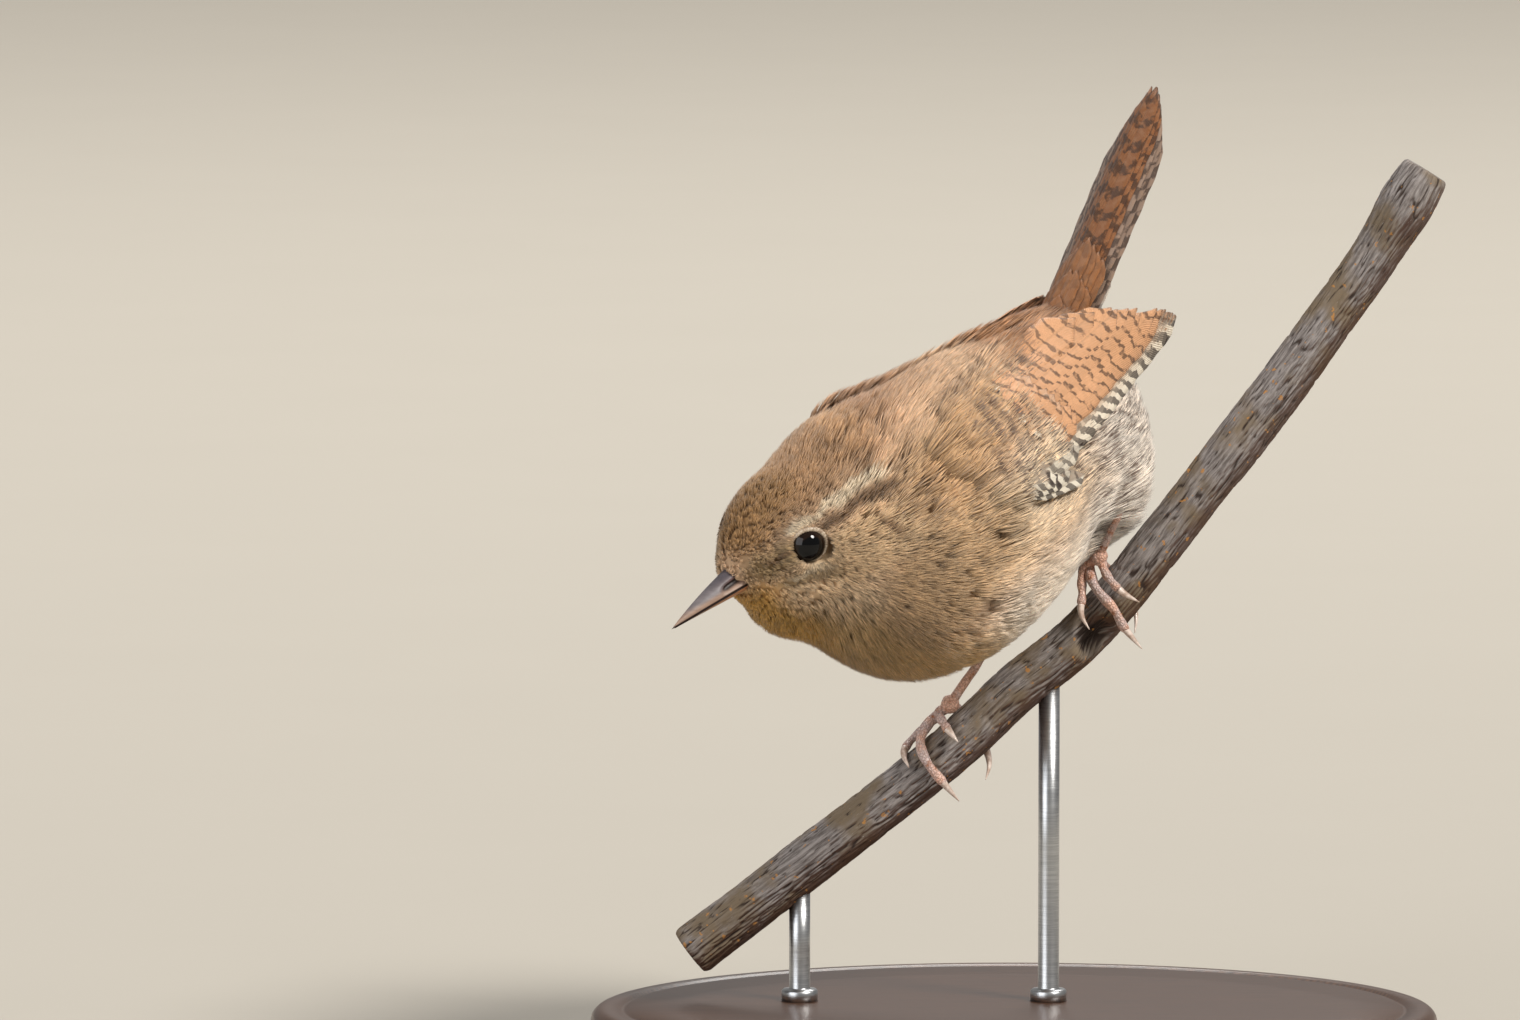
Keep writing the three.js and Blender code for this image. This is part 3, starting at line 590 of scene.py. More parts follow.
# Patches of colour, painted one over another: the axes they are placed in, the line they
# follow, their reach along x, y and z, and how soft their edge is. Both sides alike.
PATCHES = (
    ("belly", "body", ((8, 9, -9), (-14, 7, -9)), (9, 10, 9), 0.45),
    ("vent", "body", ((-13, 9, -3), (-20, 4, -4)), (8, 7, 7.5), 0.4),
    ("flank", "body", ((12, 14, 3), (-2, 15, 4)), (7, 5, 5), 0.5),
    ("vent", "body", ((-6, 12, -6), (-10, 12, -8)), (5, 4, 5), 0.5),
    ("breast", "body", ((25, 0, -5), (18, 4, -10)), (8, 10, 7), 0.45),
    ("chest", "body", ((20, 12, 1), (13, 13, 4)), (7, 6, 6), 0.5),
    ("chest", "head", ((-9, 12, -1), (-14, 13, 3)), (5, 5, 5), 0.5),
    ("throat", "head", ((5, 0, -5), (-3, 0, -13)), (5, 5.5, 5), 0.4),
    ("rump", "body", ((-13, 0, 12), (-22, 0, 9)), (7, 9, 6), 0.5),
    ("scapular", "body", ((10, 11, 12), (0, 9, 14)), (6, 4, 4), 0.6),
    ("nape", "head", ((-13, 0, 7), (-20, 0, 7)), (6, 9, 6), 0.6),
    ("crown", "head", ((2, 0, 8), (-8, 0, 9)), (6, 7.5, 5), 0.4),
    ("forehead", "head", ((6, 0, 4), (2, 0, 7)), (3.5, 4.5, 3), 0.5),
    ("cheek", "head", ((2, 6, -4), (-5, 10, -6)), (4.5, 4, 3.5), 0.5),
    ("ear", "head", ((-1, 8, -1.5), (-5, 11.5, 0)), (3.6, 5, 2.8), 0.4),
    ("lore", "head", ((7, 3, 0.4), (4, 5, 1)), (1.8, 3, 1.6), 0.6),
    ("lore", "head", ((4.2, 5.4, -2.0), (0.6, 6.8, -2.6)), (2.0, 2, 0.8), 0.9),
    ("eye_line", "head", ((-0.4, 6.6, 2.2), (-3.0, 7.8, 3.0), (-6.2, 9.6, 3.9), (-8.6, 11.2, 4.9)),
     (1.0, 1.6, 0.42), 0.9),
    ("eye_line", "head", ((-5.2, 11.8, 1.4), (-5.8, 12.6, -1.4), (-4.6, 12.6, -3.6)), (0.45, 2, 0.7), 0.9),
    ("eye_line", "head", ((6.4, 3.6, 1.0), (4.6, 4.8, 1.2)), (0.8, 1.6, 0.35), 0.9),
    ("brow", "head", ((2.4, 5.2, 3.3), (0.2, 5.9, 3.8), (-2.4, 6.6, 4.3)), (0.8, 1.4, 0.42), 0.8),
    ("brow", "head", ((-2.4, 6.6, 4.3), (-5.5, 7.7, 5.0), (-8.2, 9.0, 6.0)), (1.0, 1.6, 0.66), 0.5),
    ("brow", "head", ((3.6, 5.8, -1.7), (0.6, 6.6, -1.9)), (1.4, 1.4, 0.3), 1.0),
)
# Circles of tiny feathers round an eye: the radius from where it is seen, and how many.
EYE_RINGS = ((2.05, 90), (2.25, 90), (2.55, 90), (2.95, 80))
WARP = {"size": 1.6, "far": 1.0}
MOTTLE = {"size": 3.2, "strength": 0.16}
# How strong the bars are on the mantle, the rear flank, the fore flank and by the wing.
BAR_STRENGTH = {"mantle": 0.4, "rear": 0.85, "flank": 0.22, "coverts": 0.9}

# The two kinds of contour feathers. How many grow on a square millimetre: the least, how many
# more on the face, and the power of the face's share. How many barbs a feather has, and how
# many rings of points a barb has.
KINDS = {"fine": {"density": (1.35, 3.65, 2), "barbs": 7, "rows": 2},
         "broad": {"density": (1.15, 0.78, 1), "barbs": 13, "rows": 3}}
FACE_LIMIT = 0.3
# How much higher the tips stand over a wing's edges, on the throat and round the shank, and
# how much higher the roots sit over a wing's edges.
LIFTS = {"wing_edge": 1.45, "throat": 0.75, "leg": 1.3, "root": 1.1}
PIECE_TRIANGLES = 190_000
# How light the skin between the feathers is beside them: partly the grey of the down, partly painted shade
# between the feathers.
SKIN_SHADE = 0.85
# How a feather's barbs lie: how much shorter the outermost are, how far barbs draw together
# into clumps, how wide the fan is at its root, how low its edges hang, how flat a barb is, and
# how light the root is and how much lighter the tip.
TUFT = {"lobe": 0.34, "clumped": 0.6, "root": (0.35, 0.65), "droop": 0.1, "flat": 0.45,
        "shadow": (0.62, 0.46), "tones": (0.74, 1.3)}


def along_line(points, line, reach):
    """How far each point is from a line of points, as a share of the reach along x, y, z."""
    scaled = points / np.array(reach)
    line = np.array(line, float) / np.array(reach)
    nearest = np.full(points.shape[:-1], np.inf)
    for start, end in zip(line[:-1], line[1:]):
        run = end - start
        share = np.clip((scaled - start) @ run / (run @ run), 0, 1)
        away = np.linalg.norm(scaled - start - share[..., None] * run, axis=-1)
        nearest = np.minimum(nearest, away)
    return nearest


def plumage(points):
    """The colour of the feathers at any point: mantle brown, then each patch mixed over it by
    1 inside its reach, falling smoothly to 0 over its soft edge, with the points warped a
    little by noise so that no edge is drawn."""
    colours = bpy.context.scene.wren_colours
    flat = points.reshape(-1, 3)
    warp = np.stack([cloud(flat, WARP["size"], SEEDS["warp"] + k) - 0.5 for k in range(3)], axis=-1)
    local = {}
    for name in AXES:
        seen = into(name, flat)
        seen[:, 1] = np.abs(seen[:, 1])
        local[name] = seen + warp * WARP["far"]
    mixed = np.tile(np.array(colours.mantle), (len(flat), 1))
    for name, seen_in, line, reach, soft in PATCHES:
        away = along_line(local[seen_in], line, reach)
        share = 1 - smooth((away - 1 + soft) / (2 * soft))
        mixed += (np.array(getattr(colours, name)) - mixed) * share[:, None]
    mottle = 1 + MOTTLE["strength"] * (cloud(flat, MOTTLE["size"], SEEDS["mottle"]) - 0.5) * 2
    return (mixed * mottle[:, None]).reshape(points.shape)


def barring(points, travel):
    """The bars of the body feathers at any point: their phase, which is the millimetres
    travelled from the bill over the bars' pitch, bent by noise; their strength, the largest of
    the regions' own, each falling smoothly at its edges; and noise that breaks them up."""
    flat = points.reshape(-1, 3)
    x, y, z = parts_in("body", flat)
    y = np.abs(y)
    pitch = bpy.context.scene.wren_sizes.bar_pitch
    wave = 0.16 * cloud(flat, 1.6, SEEDS["bar_bend"]) + 0.5 * cloud(flat, 6.0, SEEDS["bar_wave"])
    mantle = BAR_STRENGTH["mantle"] * smooth((z - 5) / 6) * smooth((9 - x) / 8)
    rear = BAR_STRENGTH["rear"] * smooth((4 - x) / 12) * smooth((7 - z) / 4) * smooth((y - 2) / 5)
    flank = BAR_STRENGTH["flank"] * smooth((13 - x) / 8) * smooth((6 - z) / 4) * smooth((y - 10) / 4)
    coverts = BAR_STRENGTH["coverts"] * wing_cover(flat, 1.0)
    strength = np.maximum(np.maximum(mantle, rear), np.maximum(flank, coverts))
    phase = travel.reshape(-1) / pitch + wave
    patchy = cloud(flat, 2.4, SEEDS["bar_patches"])
    return np.stack((phase, strength, patchy), axis=-1).reshape(points.shape)


def coat_depth(points):
    """The coat's depth: shallow on the face, deeper over the crown, deepest on the body, in
    straight steps by the millimetres behind the head's middle."""
    sizes = bpy.context.scene.wren_sizes
    x = into("head", points)[..., 0]
    return np.interp(-x, (-5, -1, 9, 14), (sizes.face_depth, sizes.head_depth * 0.8,
                                           sizes.head_depth * 1.2, sizes.body_depth))


def eye_distance(points):
    """Millimetres from where the eye is seen, looking at the head from its side; far from it on
    the head's middle strip, which has no eye."""
    x, y, z = parts_in("head", points)
    away = np.hypot(x - EYE["seen"][0], z - EYE["seen"][1])
    return np.where(np.abs(y) > 2.5, away, 20)


def wing_axes(side):
    """A folded wing's wrist, and its directions along to the tip, across over the back, and
    outwards: at a right angle to the first and leaning up, all in the body's axes."""
    mirror = np.array((1, side, 1))
    wrist, tip = np.array(WING["wrist"]) * mirror, np.array(WING["tip"]) * mirror
    run = unit(tip - wrist)
    lean = math.radians(WING["lean"])
    out = np.array((0, side * math.cos(lean), math.sin(lean)))
    out = unit(out - run * (run @ out))
    return wrist, run, np.cross(out, run) * side, out


def wing_place(points):
    """The places along and across the nearer folded wing, from its wrist, of points."""
    wrist, run, over, _ = wing_axes(1)
    x, y, z = parts_in("body", points)
    away = np.stack((x, np.abs(y), z), axis=-1) - wrist
    return away @ run, away @ over


def wing_cover(points, start=0.5, shrink=0.0):
    """How far each point lies under a folded wing: 1 under it, 0 beyond its edges, from its
    place along the wing, from start on, and across it, less shrink along its upper edge."""
    along, across = wing_place(points)
    lower = np.interp(along, *WING_EDGES["lower"])
    upper = np.interp(along, *WING_EDGES["upper"]) - shrink
    inside = np.minimum(across - lower, upper - across)
    return smooth(inside / 1.2 + 0.5) * smooth((along - start) / 1.5) * smooth((40 - along) / 2)


def skin_piece():
    """The skin: the form at the coat's depth under its surface, pressed in at each eye."""
    rings = np.arange(1, FORM_RINGS)
    way, turn = np.meshgrid(rings / FORM_RINGS, turns(FORM_SIDES), indexing="ij")
    surface = on_form(way, turn)
    pressed = EYE["hollow"] * np.exp(-(eye_distance(surface) / EYE["reach"]) ** 8)
    level = -coat_depth(surface) - pressed
    points = on_form(way, turn, level)
    travel = grid_value(MEASURES[..., 2:], way, turn)[..., 0]
    ends = [on_form(np.array([end]), np.zeros(1), level[row, :1]) for end, row in ((0.0, 0), (1.0, -1))]
    uv = np.stack((turn / (2 * math.pi), way), axis=-1)
    # The skin takes the plumage's colour darkened by SKIN_SHADE: grey down, with painted shade between the
    # feathers.
    layers = {"plumage": plumage(surface)[None] * SKIN_SHADE, "barring": barring(surface, travel)[None]}
    return shells("skin", points[None], ends[0], ends[1], layers, uv[None], round_uv=True)


def head_share(points):
    """1 on the face, 0 behind the head."""
    return smooth((into("head", points)[..., 0] + 12) / 11)


def growth(kind, points):
    """How many feathers of a kind grow on a square millimetre: fine ones on the face, broad
    ones behind it, and more of each towards the bill."""
    share = head_share(points)
    here = share > FACE_LIMIT if kind == "fine" else share <= FACE_LIMIT
    least, more, power = KINDS[kind]["density"]
    return np.where(here, least + more * share ** power, 0)


def roots(kind):
    """Where feathers of a kind grow: each cell of a grid over way and turn gets as many roots
    as its area times their growth, rounded up or down by chance, strewn in the cell."""
    rng = np.random.default_rng(SEEDS[kind])
    cells = 260
    way, turn = np.meshgrid((np.arange(cells) + 0.5) / cells,
                            (np.arange(cells) + 0.5) * 2 * math.pi / cells, indexing="ij")
    way, turn = way.ravel(), turn.ravel()
    measure = grid_value(MEASURES, way, turn)
    area = measure[:, 0] * measure[:, 1] * (2 * math.pi / cells) / cells
    points = on_form(way, turn)
    count = np.floor(area * growth(kind, points) + rng.random(len(way))).astype(int)
    way = np.repeat(way, count) + (rng.random(count.sum()) - 0.5) / cells
    turn = np.repeat(turn, count) + (rng.random(count.sum()) - 0.5) * 2 * math.pi / cells
    return way, turn


def each(values):
    """One value for each feather, over all its barbs or rows and its points."""
    return np.atleast_1d(np.asarray(values, float))[:, None, None]


def tufts(name, way, turn, length, width, depth, lift, barbs, rows, thick, seed, heading=0.0):
    """Contour feathers as fans of barbs: each barb is a three-sided blade that runs back from
    the root, spreads to its share of the feather's width and rises from the skin to the
    coat's surface, and the outer barbs are shorter and lie lower, so that tips make a lobe.
    heading turns the lie away from the way along the form. Towards the tip the barbs draw
    together into clumps, and each clump has its own tone."""
    rng = np.random.default_rng(seed)
    count = len(way)
    side = np.linspace(-1, 1, barbs)[None, :, None] + rng.normal(0, 0.35 / barbs, (count, barbs, 1))
    t = np.linspace(0, 1, rows + 1)[None, None, :]
    clumps = (barbs + 2) // 3
    clump = np.arange(barbs) * clumps // barbs
    drawn = np.stack([side[:, clump == k].mean(axis=1) for k in range(clumps)], axis=1)[:, clump]
    reach = each(length) * (1 - TUFT["lobe"] * side ** 2) * rng.uniform(0.84, 1.08, (count, barbs, 1))
    narrow, wider = TUFT["root"]
    stray = rng.normal(0, 0.07, (count, barbs, 1)) * t ** 2
    spread = (side + (drawn - side) * TUFT["clumped"] * t) * (narrow + wider * np.sqrt(t)) + stray
    turned = rng.normal(0, 0.1, (count, 1, 1))
    measure = grid_value(MEASURES, way, turn)
    along = reach * t
    across = each(width) / 2 * spread + along * turned
    level = (-each(depth) + (each(depth) + each(lift)) * t ** 0.75
             - TUFT["droop"] * each(width) * side ** 2 * t + rng.normal(0, 0.05, (count, barbs, 1)) * t)
    cos, sin = each(np.cos(heading)), each(np.sin(heading))
    at_way = each(way) + (along * cos - across * sin) / measure[:, 0][:, None, None]
    at_turn = each(turn) + (along * sin + across * cos) / measure[:, 1][:, None, None]
    centre = on_form(at_way, at_turn, level)
    normal = unit(on_form(at_way, at_turn, level + 0.5) - centre)
    run = unit(np.gradient(centre, axis=2))
    beside = unit(np.cross(run, normal))
    taper = np.interp(t, (0, 0.3, 0.75, 1), (0.7, 1, 0.75, 0.1))
    half = (each(thick) / 2 * rng.uniform(0.8, 1.2, (count, barbs, 1)) * taper)[..., None, None]
    angle = np.radians((90, 210, 330))[:, None]
    blade = (np.cos(angle) * beside[..., None, :]
             + TUFT["flat"] * np.sin(angle) * normal[..., None, :])
    rings = (centre[..., None, :] + half * blade)[:, :, :rows]
    base = on_form(at_way, at_turn)
    dark, lighter = TUFT["shadow"]
    shadow = dark + lighter * smooth(t * 1.35 - 0.1)
    tone = (rng.normal(1, 0.12, (count, 1, 1)) * rng.normal(1, 0.18, (count, clumps, 1))[:, clump]
            * rng.normal(1, 0.08, (count, barbs, 1)))
    tone = np.clip(tone, *TUFT["tones"])
    shaft = 1 + 0.06 * np.exp(-(side * 2.5) ** 2)
    tint = (plumage(base) * (shadow * tone * shaft)[..., None])[:, :, :rows, None]
    travel = measure[:, 2][:, None, None] + along + 0.05 * side ** 2 * each(width)
    bars = barring(base, travel)[:, :, :rows, None]
    patch = 0.003
    root_uv = np.stack((np.clip(np.mod(turn / (2 * math.pi), 1), patch, 1 - patch),
                        np.clip(way, patch, 1 - patch)), axis=-1)[:, None, None, None]
    offset = np.stack(np.meshgrid((t.ravel()[:rows] - 0.5) * patch, np.linspace(-0.5, 0.5, 3) * patch,
                                  indexing="ij")[::-1], axis=-1)[None, None]
    shape = (count * barbs, rows, 3)

    def for_rings(values):
        wide = np.broadcast_to(values, (count, barbs, rows, 3, values.shape[-1]))
        return wide.reshape(*shape, values.shape[-1])

    return shells(name, rings.reshape(*shape, 3), tip=centre[:, :, rows].reshape(-1, 3),
                  layers={"plumage": for_rings(tint), "barring": for_rings(bars)},
                  uv=for_rings(root_uv + offset))


def kept_roots(way, turn, length):
    """Roots that stay: none under a wing or an alula, over an eye, or inside the bill."""
    measure = grid_value(MEASURES, way, turn)
    root = on_form(way, turn)
    tip = on_form(way + length / measure[:, 0], turn)
    middle = (root + tip) / 2
    x, y, z = parts_in("head", root)
    bill = (x > 7.2) & (np.hypot(y / BILL["width"], (z - BILL["gape"]) / 1.7) < 0.9)
    nearest = np.minimum(np.minimum(eye_distance(root), eye_distance(tip)), eye_distance(middle))
    wing = np.minimum(wing_cover(root, 9.5, 1.6), wing_cover(middle, 11.0, 1.6)) > 0.5
    along, across = wing_place(middle)
    on = along - ALULA_GAP["along"]
    off = across - ALULA_GAP["across"] - ALULA_GAP["slope"] * on
    alula = (np.abs(on) < ALULA_GAP["half"][0]) & (np.abs(off) < ALULA_GAP["half"][1])
    return ~(bill | (nearest < EYE["bare"]) | wing | alula)


def eye_ring(side, radius, count):
    """Roots round an eye at a radius from its axis, and headings that point away from it: the
    nearest points of the form's grid, and the angle there between outwards and the way."""
    grid = into("head", MIDDLE)
    around = turns(count)
    target = np.array(EYE["seen"]) + radius * np.column_stack((np.cos(around), np.sin(around)))
    flat = grid.reshape(-1, 3)
    away = np.linalg.norm(flat[None][..., [0, 2]] - target[:, None], axis=-1)
    nearest = np.argmin(np.where(flat[:, 1] * side > 3, away, np.inf), axis=1)
    row, column = np.divmod(nearest, FORM_SIDES)
    way, turn = row / FORM_RINGS, column * 2 * math.pi / FORM_SIDES
    here = grid[row, column]
    onward = unit(grid[np.minimum(row + 1, FORM_RINGS), column] - here)
    beside = unit(grid[row, (column + 1) % FORM_SIDES] - here)
    outward = here - np.array((EYE["seen"][0], 0, EYE["seen"][1])) - here * (0, 1, 0)
    heading = np.arctan2(np.sum(outward * beside, axis=1), np.sum(outward * onward, axis=1))
    return way, turn, heading


def eye_ring_pieces():
    """Circles of the smallest feathers round each eye, pointing away from it."""
    made = []
    for name, side in (("left", 1), ("right", -1)):
        circles = [eye_ring(side, radius, count) for radius, count in EYE_RINGS]
        way, turn, heading = (np.concatenate(values) for values in zip(*circles))
        rng = np.random.default_rng(SEEDS["eye_ring"])
        turn = turn + rng.normal(0, 0.01, len(turn))
        heading = heading + rng.normal(0, 0.15, len(turn))
        made.append(tufts(f"coat_eye_ring_{name}", way, turn, length=rng.uniform(0.75, 1.2, len(way)),
                          width=0.42, depth=0.15, lift=0.25, barbs=6, rows=2, thick=0.1,
                          seed=SEEDS["eye_tufts"], heading=heading))
    return made


def coat_pieces():
    """The contour feathers, fine ones on the face and broad ones behind it, in pieces from the
    face to the vent. Length grows behind the bill. Tips stand higher on the vent, the throat,
    round the shank and where feathers ride over the edges of a wing."""
    sizes = bpy.context.scene.wren_sizes
    rng = np.random.default_rng(SEEDS["coat"])
    made = []
    for kind, make in KINDS.items():
        way, turn = roots(kind)
        place = on_form(way, turn)
        share = head_share(place)
        x = into("head", place)[:, 0]
        body_x, _, body_z = parts_in("body", place)
        length = np.interp(-x, (-8, -4, 2, 10, 16), (sizes.face_length * 0.75, sizes.face_length * 1.2,
                                                     sizes.crown_length * 0.8, sizes.crown_length * 1.35,
                                                     sizes.body_length))
        length = length * rng.uniform(0.85, 1.15, len(way))
        keep = kept_roots(way, turn, length)
        way, turn, place, length, share = way[keep], turn[keep], place[keep], length[keep], share[keep]
        body_x, body_z = body_x[keep], body_z[keep]
        width = length * np.interp(share, (0, 1), (0.62, 0.5))
        loose = smooth((2 - body_x) / 10) * smooth((2 - body_z) / 5)
        lift = 0.1 + 0.2 * (1 - share) + 0.3 * loose * rng.random(len(way))
        over_edge = np.maximum(wing_cover(place, -2.5), wing_cover(place, -2.5, -2.5))
        head_x, _, head_z = parts_in("head", place)
        throat = smooth((-5 - head_z) / 4) * smooth((8 - head_x) / 4) * smooth((head_x + 9) / 6)
        leg = np.exp(-(np.linalg.norm(place - np.array(LEG_PARTING["place"]), axis=-1) / 4.0) ** 2)
        lift = (lift + LIFTS["wing_edge"] * over_edge + LIFTS["throat"] * throat
                + LIFTS["leg"] * leg)
        depth = coat_depth(place) * 0.85 - LIFTS["root"] * over_edge
        thick = np.interp(share, (0, 1), (sizes.barb, sizes.barb * 0.68))
        barbs, rows = make["barbs"], make["rows"]
        triangles = barbs * rows * 6
        most = PIECE_TRIANGLES // triangles
        order = np.argsort(way, kind="stable")
        pieces = math.ceil(len(order) / most)
        for number, chosen in enumerate(np.array_split(order, pieces), 1):
            made.append(tufts(f"coat_{kind}_{number}", way[chosen], turn[chosen], length[chosen],
                              width[chosen], depth[chosen], lift[chosen], barbs, rows,
                              thick[chosen], SEEDS[kind] * 100 + number))
    return made + eye_ring_pieces()


def plumage_finish(name):
    """The body feathers: their own colour, dark bars where they have them, and fine streaks.
    A bar is dark where the sine of its phase is high."""
    finish = Finish(name)
    colours = bpy.context.scene.wren_colours
    phase, strength, patchy = finish.parts(finish.attribute("barring"))
    wave = finish.math("SINE", finish.times(phase, 2 * math.pi))
    bar = finish.times(finish.ramp(wave, 0.3, 0.8), strength)
    bar = finish.times(bar, finish.ramp(patchy, 0.0, 0.4))
    base = finish.mix(bar, finish.attribute("plumage", "Color"), tuple(colours.bar))
    streak = finish.noise(finish.place(), 1.7, 4.0)
    tone = finish.node("MapRange", {"Value": streak, "From Min": 0.3, "From Max": 0.7,
                                    "To Min": 0.95, "To Max": 1.05})
    tone_colour = finish.node("CombineColor", {0: tone, 1: tone, 2: tone})
    base = finish.mix(1.0, base, tone_colour, "MULTIPLY")
    bump = finish.bump(finish.noise(finish.place(), 9.0, 2.0), 0.03)
    return finish.shade(Base_Color=base, Roughness=0.62, Specular_IOR_Level=0.28, Normal=bump,
                        Sheen_Weight=0.25, Sheen_Roughness=0.45)


WING_ROWS = (
    (9, ((8, -1.5), (13, 1.6)), ((41.6, 0.1), (38, 2.4)), 3.2, 0.5, 0.15, "primary", (0.8, 1.0, 0.0)),
    (6, ((12.5, 1.4), (13, 7.0)), ((39, 1.9), (35, 5.8)), 4.0, 0.65, 0.3, "wing", (1.0, 0.0, 0.0)),
    (3, ((11, 7.2), (10.5, 10.6)), ((34.5, 6.4), (29.5, 8.6)), 4.8, 0.7, 0.25, "wing", (0.9, 0.0, 0.0)),
    (4, ((2.5, -1.4), (4.5, -0.4)), ((13.4, -4.4), (14.2, -1.2)), 2.4, 0.8, 0.2, "alula",
     (0.9, 0.8, 0.5)),
    (2, ((3.0, -1.2), (4.0, -0.8)), ((9.6, -3.4), (10.6, -2.2)), 2.2, 1.05, 0.15, "alula",
     (0.3, 0.9, 1.0)),
    (9, ((7, 0.2), (6.5, 9.2)), ((18.2, 0.9), (16, 10.2)), 3.2, 0.75, 0.4, "wing", (0.95, 0.0, 0.12)),
    (9, ((3.5, 0.4), (3.5, 8.8)), ((12.2, 1.3), (10.8, 9.6)), 2.9, 0.7, 0.3, "scapular", (0.9, 0.0, 1.0)),
)
VANE_ROWS = 26
VANE_SIDE = 8


def over_wing(side, along, across, high):
    """A point over a folded wing's bed: along it from the wrist to the tip, across it upwards
    over the back, at a height over the flank where a ray outwards meets it."""
    wrist, run, over, out = wing_axes(side)
    start = out_of("body", wrist + run * along[..., None] + over * across[..., None])
    ray = np.broadcast_to(AXES["body"][1] @ out, start.shape)
    bed = (np.array(WING_BED["centre"]) * (1, side, 1), WING_BED["radii"])
    return cast(start, ray, high, -14, 16, bed)


def behind_rump(along, across, high):
    """A point of the tail: along it from its root, across it and over it, cocked up."""
    cock = math.radians(TAIL["cock"])
    run = np.array((-math.cos(cock), 0, math.sin(cock)))
    out = np.array((math.sin(cock), 0, math.cos(cock)))
    local = (np.array(TAIL["root"]) + run * along[..., None] + out * high[..., None]
             + np.array((0, 1, 0)) * across[..., None])
    return out_of("body", local)


def vanes(name, place, root, tip, width, high, rise, tilt, colours, marks, outer, seed):
    """Flight feathers as thin closed blades over a surface.

    Across, a blade is a low arch with a raised shaft. Along, its half width grows quickly
    from the root, stays even and ends in an ellipse. Each blade has its own patch of the map.
    Its "vane" holds the way across from the shaft, the distance from the tip and a number of
    its own, and its "marks" how strong its bars, checks and spot are.
    """
    rng = np.random.default_rng(seed)
    count = len(root)
    t = np.linspace(0, 0.995, VANE_ROWS)[None, :, None]
    top = np.linspace(-1, 1, VANE_SIDE)
    a = np.concatenate((top, top[::-1]))[None, None, :]
    under = np.concatenate((np.zeros(VANE_SIDE), np.ones(VANE_SIDE)))[None, None, :]
    run = tip - root
    length = np.linalg.norm(run, axis=1)
    cos, sin = each(run[:, 0] / length), each(run[:, 1] / length)
    half = (each(width) / 2 * (0.35 + 0.65 * smooth(t / 0.3))
            * np.sqrt(np.maximum(1 - np.clip((t - 0.84) / 0.16, 0, 1) ** 2, 0.001)))
    ragged = 1 + 0.05 * np.sin(t * 40 + each(rng.random(count) * 6) + a * 3) * smooth(t * 2)
    beside = a * half * ragged
    far = each(length) * t - 0.25 * each(width) * np.abs(a) ** 1.5 * smooth((t - 0.6) / 0.4)
    thick = bpy.context.scene.wren_sizes.vane_thickness * (1 - 0.6 * a ** 2)
    ridge = 0.06 * np.exp(-(a / 0.12) ** 2) * (1 - 0.7 * t)
    lift = (each(high) + each(rise) * t + each(tilt) * a + 0.16 * each(width) / 3 * (1 - a ** 2)
            + ridge * (1 - under) - thick * under)
    points = place(each(root[:, 0]) + far * cos - beside * sin,
                   each(root[:, 1]) + far * sin + beside * cos, lift)
    vane = together(a * each(outer), each(length) - far, each(rng.random(count)))
    tone = rng.normal(1, 0.05, count)[:, None]
    tint = (np.array([getattr(bpy.context.scene.wren_colours, item) for item in colours]) * tone)
    side = math.ceil(math.sqrt(count))
    cell = np.stack((np.arange(count) % side, np.arange(count) // side), axis=-1)[:, None, None]
    share = together(np.linspace(0.04, 0.96, 2 * VANE_SIDE)[None, None, :], 0.04 + 0.92 * t)
    return shells(name, points, layers={
        "plumage": tint[:, None, None, :], "vane": vane,
        "marks": np.asarray(marks, float)[:, None, None, :]}, uv=(cell + share) / side)


def wing_piece(side, name):
    """A folded wing: its rows of feathers, from the primaries under to the coverts on top. Roots
    and tips lie evenly between a row's first and last, and the tips are strewn a little. Checks
    fade over a row, and about two feathers in five have their spot."""
    rng = np.random.default_rng(SEEDS["wing_rows"])
    rows = {key: [] for key in ("root", "tip", "width", "high", "rise", "colours", "marks")}
    for count, (root_a, root_b), (tip_a, tip_b), width, high, rise, tint, marks in WING_ROWS:
        share = np.linspace(0, 1, count)[:, None]
        strewn = rng.normal(0, 1.0 if width < 3.0 else 0.3, (count, 2)) * (1.0, 0.3)
        rows["root"].append(np.array(root_a) * (1 - share) + np.array(root_b) * share)
        rows["tip"].append(np.array(tip_a) * (1 - share) + np.array(tip_b) * share + strewn)
        rows["width"].append(width * rng.uniform(0.92, 1.1, count))
        rows["high"].append(high + 0.15 * share[:, 0])
        rows["rise"].append(np.full(count, rise))
        rows["colours"] += [tint] * count
        bars, checks, spot = marks
        fade = 1.5 if count > 5 else 0.2
        for k in range(count):
            spotted = rng.choice((0.0, 0.9), p=(0.6, 0.4))
            rows["marks"].append((bars, checks * (1 - k / count) ** fade, spot * spotted))
    joined = {key: np.concatenate(rows[key]) for key in ("root", "tip", "width", "high", "rise")}
    count = len(joined["width"])
    return vanes(name, lambda along, across, high: over_wing(side, along, across, high),
                 joined["root"], joined["tip"], joined["width"], joined["high"], joined["rise"],
                 np.full(count, -0.12), rows["colours"], rows["marks"], np.ones(count),
                 SEEDS["wing_vanes"])


TAIL_PAIRS = 6
# Rows of coverts over and under the tail's root: how many, their length, height over the tail
# and, for the upper ones, how far they spread to each side.
UPPER_COVERTS = ((7, 16, 1.5, 2.6), (6, 12, 1.9, 2.4), (5, 8, 2.3, 2.0))
UNDER_COVERTS = ((5, 13, -1.9), (4, 9, -2.6))


